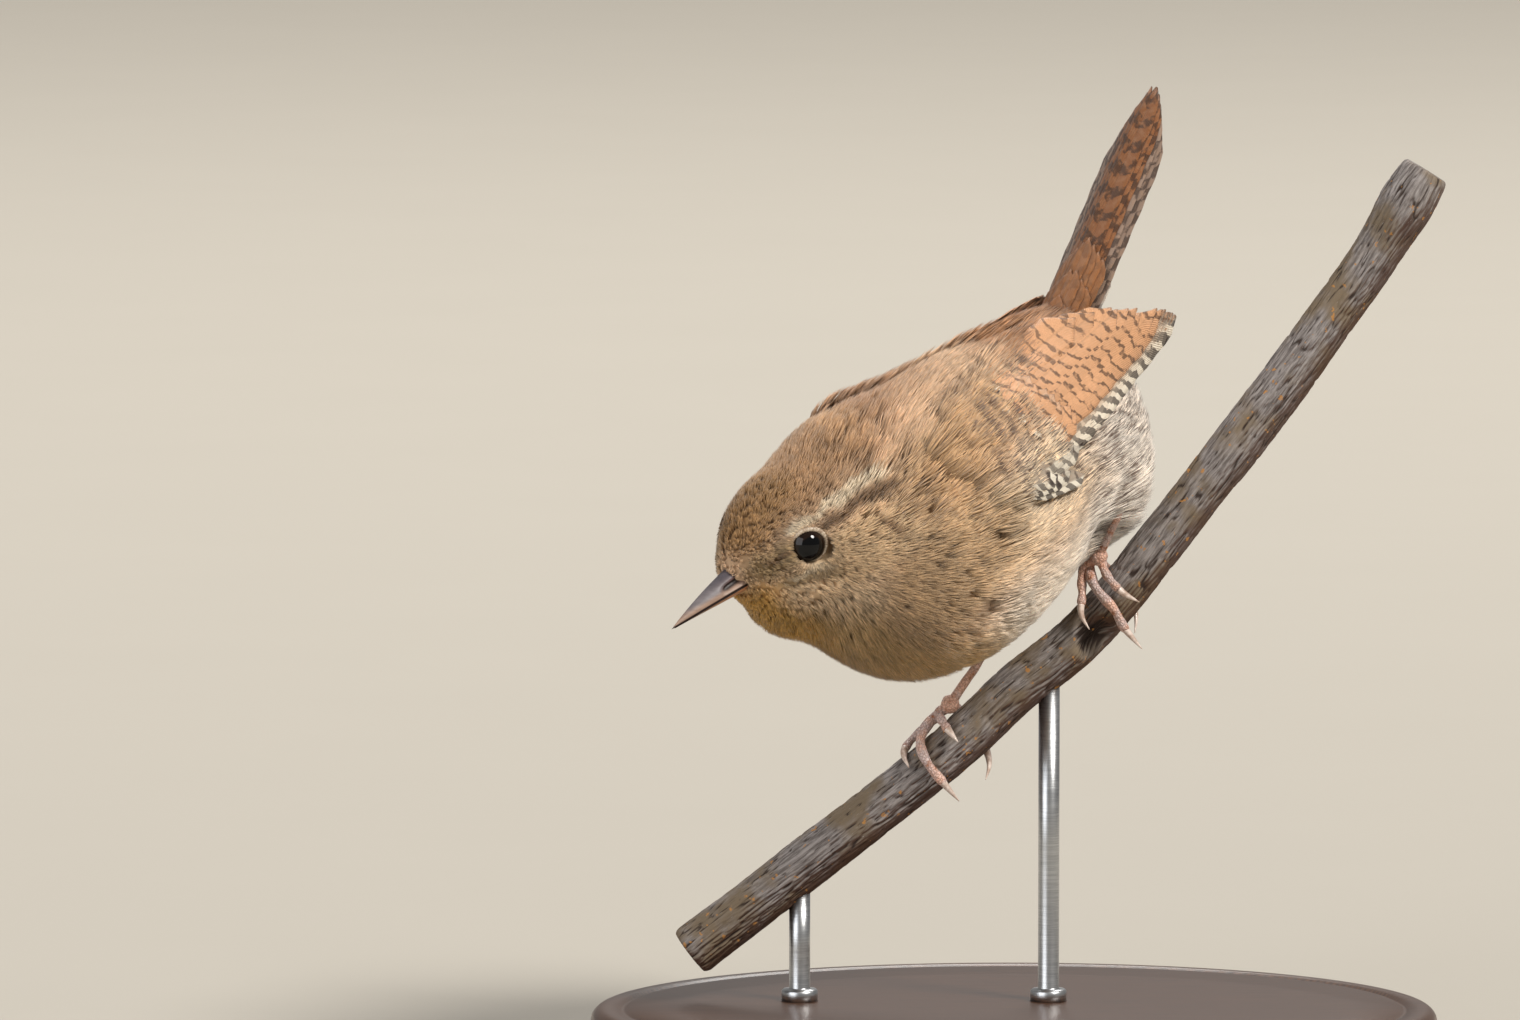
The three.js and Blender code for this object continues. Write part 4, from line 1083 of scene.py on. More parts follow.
def tail_piece():
    """The cocked tail: six pairs of feathers, the middle pair on top and each next pair lower,
    shorter and further out, and its coverts."""
    root, tip, width, high, tilt, colours, marks, outer = [], [], [], [], [], [], [], []

    def add(where, to, wide, level, lean, tint, mark, side):
        for values, value in ((root, where), (tip, to), (width, wide), (high, level), (tilt, lean),
                              (colours, tint), (marks, mark), (outer, side)):
            values.append(value)

    for pair in range(TAIL_PAIRS):
        for side in (1, -1):
            edge = pair / (TAIL_PAIRS - 1)
            add((2, side * (0.4 + 0.5 * pair) - 0.4), (TAIL["length"] - 0.75 * pair ** 1.25,
                side * (0.45 + 0.52 * pair) - 1.0), 3.1, 0.75 - 0.26 * pair - (0.1 if side < 0 else 0),
                side * -0.14, "tail" if pair < 3 else "tail_edge", (1.0, 0.9 * edge ** 2, 0.3 * edge), side)
    for count, length, level, reach in UPPER_COVERTS:
        for k in range(count):
            side = 2 * k / (count - 1) - 1
            add((-1.5, side * 1.8), (length - 2 * abs(side), side * reach), 2.6, level - 0.9 * abs(side),
                -0.2 * side, "covert", (0.35, 0.0, 0.0), -1 if side < 0 else 1)
    for count, length, level in UNDER_COVERTS:
        for k in range(count):
            side = 2 * k / (count - 1) - 1
            add((0, side * 1.8), (length, side * 2.6), 2.8, level + 0.6 * abs(side), 0.15 * side,
                "vent", (0.7, 0.0, 0.6), -1 if side < 0 else 1)
    return vanes("tail_feathers", behind_rump, np.array(root, float), np.array(tip, float),
                 np.array(width), np.array(high), np.zeros(len(width)), np.array(tilt), colours,
                 marks, np.array(outer), SEEDS["tail_vanes"])


def vane_finish(name, pitch, dark_from):
    """Flight feathers: dark bars whose phase is the distance from the tip over the pitch in
    millimetres, bent by noise and swept back along the vane, pale and dark checks on the outer
    vane, a pale spot with a dark edge at the tip, and fine barbs slanting from the shaft as
    bump. A bar is dark where the sine of its phase is over dark_from."""
    finish = Finish(name)
    colours = bpy.context.scene.wren_colours
    across, from_tip, seed = finish.parts(finish.attribute("vane"))
    bars, checks, spot = finish.parts(finish.attribute("marks"))
    place = finish.place()
    side = finish.math("ABSOLUTE", across)
    bend = finish.times(finish.noise(place, 0.7, 3.0), 0.95)
    phase = finish.math("DIVIDE", from_tip, pitch)
    swept = finish.times(finish.math("POWER", side, 1.5), 0.3)
    phase = finish.math("ADD", phase, swept)
    phase = finish.math("ADD", phase, finish.math("ADD", bend, finish.times(seed, 0.14)))
    wave = finish.math("SINE", finish.times(phase, 2 * math.pi))
    bar = finish.times(finish.ramp(wave, dark_from, dark_from + 0.4), bars)
    patch = finish.ramp(finish.noise(place, 1.1, 2.0), 0.3, 0.52)
    bar = finish.times(bar, finish.times(patch, 0.75))
    base = finish.attribute("plumage", "Color")
    mottled = finish.mix(finish.ramp(finish.noise(place, 1.4, 4.0), 0.35, 0.75), base,
                         tuple(colours.primary))
    base = finish.mix(0.35, base, mottled)
    outer = finish.times(finish.ramp(finish.times(across, -1.0), 0.1, 0.35), checks)
    base = finish.mix(outer, base, tuple(colours.spot))
    check_bar = finish.times(finish.ramp(wave, -0.25, 0.1), outer)
    base = finish.mix(finish.math("MAXIMUM", bar, check_bar), base, tuple(colours.wing_bar))
    edge = finish.times(finish.ramp(from_tip, 2.0, 1.5), spot)
    base = finish.mix(finish.times(edge, finish.ramp(side, 0.95, 0.6)), base,
                      tuple(colours.wing_bar))
    drop = finish.math("ABSOLUTE", finish.math("SUBTRACT", from_tip, 0.75))
    drop = finish.math("ADD", finish.times(drop, 1.5), finish.times(side, 1.1))
    base = finish.mix(finish.times(finish.ramp(drop, 1.05, 0.75), spot), base,
                      tuple(colours.spot))
    shaft = finish.times(finish.ramp(side, 0.09, 0.03), 0.12)
    base = finish.mix(shaft, base, tuple(colours.wing_bar))
    slant = finish.math("ADD", from_tip, finish.times(side, 1.6))
    barbs = finish.math("SINE", finish.times(slant, 24.0))
    bump = finish.bump(barbs, 0.035, 0.8)
    return finish.shade(Base_Color=base, Roughness=0.5, Specular_IOR_Level=0.35, Normal=bump,
                        Sheen_Weight=0.15)


def eye_axis(side):
    """The centre of an eye and its axes forward, outward and up, turned together about up so
    that outward looks forward a little."""
    x, y, z = EYE["place"]
    turned = AXES["head"][1]
    cos, sin = math.cos(math.radians(EYE["forward"])), math.sin(math.radians(EYE["forward"]))
    forward, out = turned[:, 0], turned[:, 1] * side
    return (out_of("head", (x, side * y, z)), forward * cos - out * sin, out * cos + forward * sin,
            turned[:, 2])


def eye_piece(side, name):
    """An eyeball: a sphere round the axis that looks outwards. Its map holds the angle from
    that axis, which the iris follows."""
    centre, forward, out, up = eye_axis(side)
    rows, sides = 40, 56
    angle = np.linspace(0.02, math.pi - 0.02, rows)[:, None]
    turn = turns(sides)[None, :]
    ring = forward * np.cos(turn)[..., None] + up * np.sin(turn)[..., None]
    points = centre + EYE["radius"] * (out * np.cos(angle)[..., None] + ring * np.sin(angle)[..., None])
    gaze = np.broadcast_to(angle[..., None], (rows, sides, 3))
    return shells(name, points[None], layers={"gaze": gaze[None]})


def lid_piece(side, name):
    """An eye's lids: a thin beaded ring that lies on the ball, thickest along its top."""
    centre, forward, out, up = eye_axis(side)
    turn = turns(120)[:, None]
    across = turns(14)[None, :]
    thick = 0.12 + 0.15 * smooth(np.sin(turn - 0.5) * 1.2) + 0.07 * smooth(-np.cos(turn))
    thick = thick * (1 + 0.16 * np.sin(turn * 40))
    radius = EYE["radius"] - 0.04 + 0.05 * np.cos(2 * turn)
    rim = forward * np.cos(turn)[..., None] + up * np.sin(turn)[..., None]
    points = (centre + rim * (radius + thick * np.cos(across))[..., None]
              + out * (0.72 + 0.9 * thick * np.sin(across))[..., None])
    return ring_mesh(name, points)


def ring_mesh(name, points):
    """A closed ring: a grid of points that joins on to itself both ways."""
    rows, sides, _ = points.shape
    row, side = np.meshgrid(np.arange(rows), np.arange(sides), indexing="ij")
    below, beside = (row + 1) % rows, (side + 1) % sides
    faces = np.stack((row * sides + side, below * sides + side, below * sides + beside,
                      row * sides + beside), axis=-1).reshape(-1, 4)
    flat = points.reshape(-1, 3)
    a, b, c, d = (flat[faces[:, k]] for k in range(4))
    volume = np.sum(a * np.cross(b, c)) + np.sum(a * np.cross(c, d))
    mesh = bpy.data.meshes.new(name)
    mesh.from_pydata((flat * MM).tolist(), [], (faces[:, ::-1] if volume < 0 else faces).tolist())
    mesh.polygons.foreach_set("use_smooth", np.ones(len(faces), bool))
    return linked(name, mesh)


def bill_piece(upper, name):
    """Half the bill: a taper from the base to the tip, round outside and flat along the mouth
    line, with a keel along its ridge, a groove beside it and a pressed slit at each nostril.
    Its map holds the way to the tip, the height from the mouth line over 1.75 mm, and how deep
    in a nostril it is."""
    rows, sides = 90, 56
    way = np.linspace(0, 1, rows)[:, None] ** 0.9
    turn = turns(sides)[None, :]
    x = BILL["base"] - 0.8 + (BILL["tip"] - BILL["base"] + 0.8 - (0 if upper else 0.5)) * way
    along = np.clip((x - BILL["base"]) / (BILL["tip"] - BILL["base"]), 0, 1)
    line = BILL["gape"] - BILL["drop"] * along ** 2 + (0.02 if upper else -0.06)
    taper = np.maximum(1 - along ** 1.25, 0.002)
    tall = (BILL["height"] if upper else BILL["depth"]) * taper ** (0.8 if upper else 1.0)
    tall = tall * (1 - 0.08 * along)
    round_up = np.maximum(np.sin(turn), 0)
    groove = np.exp(-((np.sin(turn) - 0.55) / 0.2) ** 2)
    keel = 1 + 0.05 * round_up ** 12 - 0.04 * groove
    y = BILL["width"] * taper * np.cos(turn) * (1 - 0.08 * round_up)
    z = line + (tall if upper else -tall) * round_up * keel
    lip = 0.05 * np.exp(-(np.sin(turn) / 0.18) ** 2) * taper
    y = y * (1 + lip)
    points = together(x, y, z)
    slit = np.zeros((rows, sides))
    if upper:
        onward = points[..., 0] - NOSTRIL["along"]
        rise = points[..., 2] - BILL["gape"] - NOSTRIL["up"] + 0.1 * onward
        slit = np.exp(-(onward / NOSTRIL["reach"][0]) ** 4 - (rise / NOSTRIL["reach"][1]) ** 2)
        points[..., 1] -= np.sign(points[..., 1]) * NOSTRIL["depth"] * slit * (round_up > 0)
    horn = together(along, np.abs(points[..., 2] - line) / 1.75, slit)
    return shells(name, out_of("head", points)[None], layers={"horn": horn[None]})


def horn_finish(name, upper):
    """Bill horn: blue grey on the upper half with a reddish dark base and a paler cutting edge, buff
    on the lower half with a dark tip, and long fine streaks. Painted shade darkens the nostril's
    slit and both halves along the mouth line."""
    finish = Finish(name)
    along, height, slit = finish.parts(finish.attribute("horn"))
    streak = finish.noise(finish.place((0.5, 0.5, 1.6)), 1.6, 5.0)
    if upper:
        base = finish.mix(finish.ramp(along, 0.05, 0.45), linear(96, 48, 34), linear(114, 106, 108))
        base = finish.mix(finish.ramp(height, 0.5, 0.2), base, linear(156, 128, 110))
        base = finish.mix(finish.ramp(height, 0.6, 0.95), base, linear(84, 78, 84))
        # Painted shade in the nostril's slit.
        base = finish.mix(finish.ramp(slit, 0.25, 0.8), base, linear(34, 18, 14))
    else:
        base = finish.mix(finish.ramp(along, 0.1, 0.95), linear(204, 142, 98), linear(140, 112, 94))
    shade = finish.mix(finish.ramp(streak, 0.35, 0.7), base, linear(40, 34, 32))
    base = finish.mix(0.25, base, shade)
    # Painted shade along the mouth line, where the two halves meet.
    base = finish.mix(finish.ramp(height, 0.12, 0.04), base, linear(40, 22, 16))
    bump = finish.bump(streak, 0.05, 0.5)
    return finish.shade(Base_Color=base, Roughness=0.46, Specular_IOR_Level=0.4, Normal=bump)


def eye_finish():
    """The eye: a near black brown iris round a black pupil, smooth and wet."""
    finish = Finish("wet_eye")
    angle, _, _ = finish.parts(finish.attribute("gaze"))
    fibres = finish.noise(finish.place(), 3.0, 3.0)
    iris = finish.mix(finish.ramp(fibres, 0.3, 0.7), linear(20, 12, 8), linear(34, 20, 12))
    base = finish.mix(finish.ramp(angle, 0.72, 0.82), linear(4, 4, 5), iris)
    return finish.shade(Base_Color=base, Roughness=0.03, Specular_IOR_Level=0.3)


def lid_finish():
    """Bare lid skin: pale buff, darker between its beads."""
    finish = Finish("lid_skin")
    grain = finish.noise(finish.place(), 3.5, 3.0)
    base = finish.mix(finish.ramp(grain, 0.35, 0.65), linear(206, 190, 168), linear(150, 126, 104))
    bump = finish.bump(grain, 0.06)
    return finish.shade(Base_Color=base, Roughness=0.5, Normal=bump)


def beside_twig(foot, place):
    """A point beside the twig: along it from the stand, round it and out from its middle."""
    along, turn, out = place
    rise, turn = math.radians(foot["slope"]), math.radians(turn)
    reach = -out * math.cos(turn)
    x, z = foot["stand"]
    return (x + along * math.cos(rise) + reach * math.sin(rise), TWIG["y"] - out * math.sin(turn),
            z + along * math.sin(rise) - reach * math.cos(rise))


def toe_lines(foot, name):
    """A toe's and its claw's path: one curve from the hub, cut where the claw begins."""
    points = [beside_twig(foot, foot["hub"])] + [beside_twig(foot, place) for place in foot[name]]
    line = path(points, TOE_STEPS)
    cut = CLAW_START[name]
    return line[:cut + 3], line[cut:]


def toe_rings(line, thick, sides=28):
    """A toe: a round bar with pads swelling beneath each joint and scutes across its top."""
    fine = path(line[::6], 72)

    def radius(way, turn):
        joints = 0.1 * np.cos(way * 3.2 * 2 * math.pi) * (1 - 0.3 * np.cos(turn))
        scutes = 0.05 * np.abs(np.sin(way * 13 * math.pi)) * smooth(np.cos(turn) * 1.6)
        end = np.sqrt(np.maximum(1 - np.clip((way - 0.95) / 0.06, 0, 1) ** 2, 0.05))
        return thick * (1.05 - 0.22 * way + joints + scutes) * end

    return tube(fine, radius, sides)


def claw_rings(line, thick):
    """A claw: a curved cone, deeper than it is wide, from a swollen root to a fine point."""
    fine = path(line[::5], 34)
    return tube(fine, lambda way, turn: 0.54 * thick ** 0.2 * (1 - 0.9 * way ** 1.2)
                * (1 + 0.12 * np.cos(2 * turn)), 20)


def shank_rings(foot):
    """A tarsus: a bar from the hub up into the flank, narrow in its middle, with a row of
    broad scutes down its front."""
    hub = np.array(beside_twig(foot, foot["hub"]))
    knee, inside = (np.array(place) for place in foot["shank"])
    line = path((hub, (hub + knee) / 2, knee, inside), 90)

    def radius(way, turn):
        scutes = 0.035 * np.abs(np.sin(way * 9 * math.pi)) ** 0.7 * smooth(np.cos(turn) * 2 + 0.3)
        return 0.5 * (1.18 - 0.3 * np.sin(math.pi * way)) + 0.12 * way + scutes

    return tube(line, radius, 28)


def leg_pieces(name):
    """A leg's shank, its foot with four toes, and its four claws."""
    foot = FEET[name]
    toes, claws = [], {}
    for toe, thick in TOES.items():
        line, claw = toe_lines(foot, toe)
        toes.append(toe_rings(line, thick))
        claws[toe] = shells(f"claw_horn_{name}_{toe}", claw_rings(claw, thick)[None])
    hub = np.array(beside_twig(foot, foot["hub"]))
    knee = np.array(foot["shank"][0])
    pad_line = hub + (knee - hub) / np.linalg.norm(knee - hub) * np.linspace(-1.05, 1.25, 72)[:, None]
    pad = tube(pad_line, lambda way, turn: 1.08 * np.sqrt(np.maximum(1 - (2 * way - 1) ** 2, 0.01))
               * (1 + 0.05 * np.sin(turn * 5) * np.sin(way * 12)), 28)
    return (shells(f"shank_{name}", shank_rings(foot)[None]),
            shells(f"toes_{name}", np.stack(toes + [pad])), claws)


def leg_finish():
    """Leg skin: pinkish buff with orange brown in the creases, partly their own colour and partly painted
    shade, and grey on the scutes.
    """
    finish = Finish("scaled_leg")
    place = finish.place()
    cells = finish.node("TexVoronoi", {"Vector": place, "Scale": 2.6}, feature="DISTANCE_TO_EDGE")
    crease = finish.ramp(cells, 0.12, 0.0)
    tone = finish.noise(place, 0.45, 3.0)
    base = finish.mix(finish.ramp(tone, 0.38, 0.62), linear(232, 186, 164), linear(214, 192, 186))
    base = finish.mix(finish.ramp(finish.noise(place, 0.8, 3.0), 0.55, 0.75), base, linear(176, 112, 72))
    # Darker in the creases between the scales: partly their own colour, partly painted shade.
    base = finish.mix(finish.times(crease, 0.6), base, linear(122, 74, 48))
    bump = finish.bump(finish.ramp(cells, 0.0, 0.25), 0.09, 0.8)
    return finish.shade(Base_Color=base, Roughness=0.42, Normal=bump, Subsurface_Weight=0.12,
                        Subsurface_Radius=(0.001, 0.0006, 0.0004))


def claw_finish():
    """Claw horn: pale, with a grey brown root and lengthwise streaks."""
    finish = Finish("claw_horn")
    place = finish.place()
    tone = finish.noise(place, 1.1, 4.0)
    base = finish.mix(finish.ramp(tone, 0.35, 0.7), linear(228, 210, 198), linear(176, 148, 130))
    return finish.shade(Base_Color=base, Roughness=0.32, Coat_Weight=0.25,
                        Normal=finish.bump(tone, 0.03))


def twig_line():
    """The twig's centreline as points of the frame."""
    return np.array([(x, TWIG["y"], z) for x, z in TWIG["points"]], float)


def perch_piece():
    """The twig: a bar along its line whose radius is the wood's, plus the knot, less long
    fissures along the ridges of stretched noise, and a torn hollow pressed in by the left foot.
    Both ends are rounded at their rims.
    Its map holds the millimetres along and round it, and the fissures' depth."""
    rows, sides = 560, 168
    line = path(twig_line(), rows)
    length = np.linalg.norm(np.diff(line, axis=0), axis=1).sum()
    way = np.linspace(0, 1, rows)[:, None]
    turn = turns(sides)[None, :]
    knot = KNOT["swell"] * np.exp(-((way - KNOT["at"]) / KNOT["reach"]) ** 2)
    wood = TWIG["radius"] - 0.2 * way + knot * (0.8 + 0.3 * np.sin(turn * 2 + 1))

    def round_noise(length_size, round_size, seed_name):
        spot = together(way * length / length_size, 3 * np.cos(turn) / round_size,
                        3 * np.sin(turn) / round_size)
        return cloud(spot, 1.0, SEEDS[seed_name])

    ridges = 1 - np.abs(2 * round_noise(4.2, 0.5, "ridges") - 1)
    fine_ridges = 1 - np.abs(2 * round_noise(2.0, 0.26, "fine_ridges") - 1)
    fissure = 0.5 * smooth((ridges - 0.72) / 0.26) + 0.5 * smooth((fine_ridges - 0.7) / 0.28)
    worn = smooth((round_noise(11, 2.2, "worn") - 0.45) / 0.3)
    swell = 0.32 * (round_noise(9, 2.4, "swell") - 0.5)
    grain = 0.05 * round_noise(0.7, 0.3, "grain")
    radius = wood + swell - 0.3 * fissure * (0.45 + 0.55 * worn) + grain
    rim = np.clip(way * (rows - 1) / 3, 0, 1) * np.clip((1 - way) * (rows - 1) / 3, 0, 1)
    radius = radius - 0.3 * (1 - np.sqrt(rim))
    points = tube(line, lambda _way, _turn: radius, sides)
    away = points - np.array(HOLLOW["place"])
    near = np.exp(-(np.linalg.norm(away, axis=-1) / HOLLOW["reach"]) ** 4)
    torn = 0.75 + 0.5 * round_noise(1.2, 0.8, "torn")
    points = points - unit(points - line[:, None]) * (HOLLOW["depth"] * near * torn)[..., None]
    # The third number, the depth of the fissures and of the hollow, sets the painted shade in the bark's
    # finish.
    bark = together(way * length, turn * 3, fissure + near)
    return shells("perch_bark", points[None], layers={"bark": bark[None]})


def bark_finish():
    """Weathered bark: grey with patches of brown, painted shade of dark red brown where it faces
    down, painted shade in the fissures and the hollow, with gold and pale specks of lichen."""
    finish = Finish("weathered_bark")
    along, around, deep = finish.parts(finish.attribute("bark"))
    place = finish.place()
    strand = finish.node("CombineXYZ", {0: finish.times(along, 0.22),
                                        1: finish.times(around, 1.7)})
    fibre = finish.noise(strand, 1.4, 6.0, 0.65)
    base = finish.mix(finish.ramp(fibre, 0.35, 0.65), linear(104, 96, 92), linear(166, 158, 154))
    base = finish.mix(finish.ramp(finish.noise(place, 0.16, 3.0), 0.42, 0.62), base, linear(128, 112, 92))
    # Painted shade: the bark turns dark red brown where its surface faces down, away from the light.
    _, _, up = finish.parts(finish.node("NewGeometry", {}, out=1))
    under = finish.times(finish.ramp(finish.math("ADD", up, finish.times(fibre, 0.5)),
                                     0.25, -0.25), 0.75)
    base = finish.mix(under, base, linear(84, 52, 38))
    # Painted shade: darker the deeper the fissures run, and inside the hollow.
    base = finish.mix(finish.ramp(deep, 0.35, 1.0), base, linear(58, 46, 40))
    specks = finish.ramp(finish.noise(place, 1.1, 2.0), 0.66, 0.72)
    base = finish.mix(finish.times(specks, 0.8), base, linear(196, 138, 72))
    pale = finish.ramp(finish.noise(strand, 5.0, 3.0), 0.66, 0.74)
    base = finish.mix(finish.times(pale, 0.6), base, linear(196, 190, 186))
    bump = finish.bump(fibre, 0.3, 0.9)
    return finish.shade(Base_Color=base, Roughness=0.78, Specular_IOR_Level=0.3, Normal=bump)


def base_piece():
    """The stand's base: an oval turned from a profile with a rounded edge, a fine groove round
    its top and a small chamfer under it."""
    low, high = (np.array(corner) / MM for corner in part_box("stand_base"))
    half = (high - low) / 2
    top, bend = high[2], BASE["round"]
    bottom = top - BASE["groove_depth"]
    profile = [(-BASE["chamfer"], 0.0), (0.0, BASE["chamfer"])]
    profile += [(bend * math.cos(a) - bend, top - bend + bend * math.sin(a))
                for a in np.linspace(0, math.pi / 2, 10)]
    profile += [(-inset, z) for inset, z in zip(BASE["groove"], (top, bottom, bottom, top))]
    profile += [(-12.0, top), (-30.0, top)]
    offset, z = np.array(profile).T
    turn = turns(192)[None, :]
    x = (half[0] + offset[:, None]) * np.cos(turn)
    y = (half[1] + offset[:, None]) * np.sin(turn)
    points = together(x, y, z[:, None])
    return shells("base_wood", points[None])


def base_finish():
    """Dark stained hardwood: long grain in slow rings, small pores, a satin coat."""
    finish = Finish("stained_wood")
    place = finish.place((0.045, 0.35, 0.35))
    rings = finish.node("TexWave", {"Vector": place, "Scale": 1.1, "Distortion": 5.0, "Detail": 4.0,
                                    "Detail Scale": 1.2}, bands_direction="Y", wave_type="BANDS", out=1)
    pores = finish.noise(finish.place((0.12, 3.0, 3.0)), 1.0, 4.0)
    base = finish.mix(rings, linear(58, 38, 26), linear(92, 62, 42))
    base = finish.mix(finish.ramp(pores, 0.6, 0.75), base, linear(30, 20, 15))
    bump = finish.bump(pores, 0.04, 0.6)
    return finish.shade(Base_Color=base, Roughness=0.38, Coat_Weight=0.35, Coat_Roughness=0.2,
                        Normal=bump)


def rod_piece(number):
    """A steel rod from a small collar on the base up into the twig's underside."""
    low, high = (np.array(corner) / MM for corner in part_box(f"stand_rod_{number}"))
    x, y = (low[:2] + high[:2]) / 2
    radius = ROD_RADIUS
    profile = np.array(((radius + 0.9, low[2] - 0.29), (radius + 0.9, low[2] + 0.9),
                        (radius + 0.7, low[2] + 1.1), (radius + 0.05, low[2] + 1.15),
                        (radius, low[2] + 1.3), (radius, (low[2] + high[2]) / 2), (radius, high[2] + 0.5)))
    turn = turns(48)[None, :]
    size_at, z = profile[:, :1], profile[:, 1:]
    points = together(x + size_at * np.cos(turn), y + size_at * np.sin(turn), z)
    return shells(f"rod_steel_{number}", points[None])


def rod_finish():
    """Brushed steel: fine lines round the rod in its roughness and bump."""
    finish = Finish("brushed_steel")
    lines = finish.noise(finish.place((0.2, 0.2, 6.0)), 2.0, 3.0)
    base = finish.mix(finish.ramp(lines, 0.3, 0.7), linear(176, 178, 180), linear(206, 207, 208))
    rough = finish.node("MapRange", {"Value": lines, "To Min": 0.24, "To Max": 0.4})
    return finish.shade(Base_Color=base, Metallic=1.0, Roughness=rough, Normal=finish.bump(lines, 0.01))


class WREN_OT_skin(bpy.types.Operator):
    """Make the one skin beneath the feathers of head, neck and torso"""

    bl_idname = "wren.skin"
    bl_label = "Skin"

    def execute(self, context):
        finish_piece(skin_piece(), plumage_finish("down_skin"), "body_feathers", "head", "neck", "torso")
        return {"FINISHED"}


class WREN_OT_coat(bpy.types.Operator):
    """Grow the contour feathers over the skin"""

    bl_idname = "wren.coat"
    bl_label = "Body feathers"

    def execute(self, context):
        material = plumage_finish("contour_feathers")
        for piece in coat_pieces():
            fine = "broad" not in piece.name
            node, slot = ("head", "crown_feathers") if fine else ("torso", "body_feathers")
            finish_piece(piece, material, slot, node)
        return {"FINISHED"}


class WREN_OT_wings(bpy.types.Operator):
    """Lay the folded wings over the flanks"""

    bl_idname = "wren.wings"
    bl_label = "Wings"

    def execute(self, context):
        material = vane_finish("barred_wing_feathers", 2.15, 0.5)
        for name, side in (("left", 1), ("right", -1)):
            finish_piece(wing_piece(side, f"wing_feathers_{name}"), material, "wing_feathers",
                         f"wing_{name}")
        return {"FINISHED"}


class WREN_OT_tail(bpy.types.Operator):
    """Cock the tail over the rump"""

    bl_idname = "wren.tail"
    bl_label = "Tail"

    def execute(self, context):
        finish_piece(tail_piece(), vane_finish("barred_tail_feathers", 3.1, -0.2), "tail_feathers", "tail")
        return {"FINISHED"}


class WREN_OT_face(bpy.types.Operator):
    """Make the eyes, their lids and the bill"""

    bl_idname = "wren.face"
    bl_label = "Eyes and bill"

    def execute(self, context):
        wet, lid = eye_finish(), lid_finish()
        for name, side in (("left", 1), ("right", -1)):
            finish_piece(eye_piece(side, f"eyeball_{name}"), wet, "eye_glass", f"eye_{name}")
            finish_piece(lid_piece(side, f"eyelids_{name}"), lid, "crown_feathers", "head")
        finish_piece(bill_piece(True, "upper_mandible"), horn_finish("upper_horn", True),
                     "upper_bill_horn", "bill_upper")
        finish_piece(bill_piece(False, "lower_mandible"), horn_finish("lower_horn", False),
                     "lower_bill_horn", "bill_lower")
        return {"FINISHED"}


class WREN_OT_legs(bpy.types.Operator):
    """Make the shanks, toes and claws"""

    bl_idname = "wren.legs"
    bl_label = "Legs"

    def execute(self, context):
        skin, horn = leg_finish(), claw_finish()
        for name in FEET:
            shank, toes, claws = leg_pieces(name)
            finish_piece(shank, skin, "leg_scutes", f"leg_{name}")
            finish_piece(toes, skin, "leg_scutes", f"foot_{name}")
            for toe, claw in claws.items():
                finish_piece(claw, horn, "claw_horn", f"claw_{name}_{toe}")
        return {"FINISHED"}


class WREN_OT_perch(bpy.types.Operator):
    """Make the twig's bark"""

    bl_idname = "wren.perch"
    bl_label = "Twig"

    def execute(self, context):
        finish_piece(perch_piece(), bark_finish(), "twig_bark", "perch")
        return {"FINISHED"}


class WREN_OT_stand(bpy.types.Operator):
    """Turn the stand's base and its rods"""

    bl_idname = "wren.stand"
    bl_label = "Display stand"

    def execute(self, context):
        finish_piece(base_piece(), base_finish(), "stand_wood", "stand_base")
        steel = rod_finish()
        for number in (1, 2):
            finish_piece(rod_piece(number), steel, "stand_steel", f"stand_rod_{number}")
        return {"FINISHED"}


# The camera looks along +Y and a little down at the middle of the picture. The picture holds
# 8.5 pixels to the millimetre there.
CAMERA = {"target": (-30.0, 0.0, 66.0), "elevation": 6.0, "distance": 1400.0, "pixels_per_mm": 8.5}
PICTURE_WIDTH = 1520
SENSOR = 36.0

# The key is a soft sun from the upper right, and its angle is in degrees. The other lights are
# wide ones by place in metres, size, power in watts and colour.
SUN = {"from": (1.15, -0.85, 1.5), "angle": 18, "strength": 3.1, "colour": (1.0, 0.97, 0.92)}
LIGHTS = (
    ("fill", (-1.3, -1.2, 0.7), 1.4, 15.0, (0.95, 0.97, 1.0)),
    ("rim", (0.2, 1.2, 1.5), 0.9, 17.0, (1.0, 0.98, 0.95)),
)


def floor_piece():
    """The floor: one wide square of a grid, level with the underside of the base."""
    half, count = 12000.0, 9
    x, y = np.meshgrid(np.linspace(-half, half, count), np.linspace(-half, half, count), indexing="ij")
    points = np.stack((x.ravel(), y.ravel(), np.zeros(x.size)), axis=-1)
    row, column = np.meshgrid(np.arange(count - 1), np.arange(count - 1), indexing="ij")
    first = (row * count + column).ravel()
    faces = np.stack((first, first + count, first + count + 1, first + 1), axis=-1)
    mesh = bpy.data.meshes.new("floor")
    mesh.from_pydata((points * MM).tolist(), [], faces.tolist())
    return linked("floor", mesh)


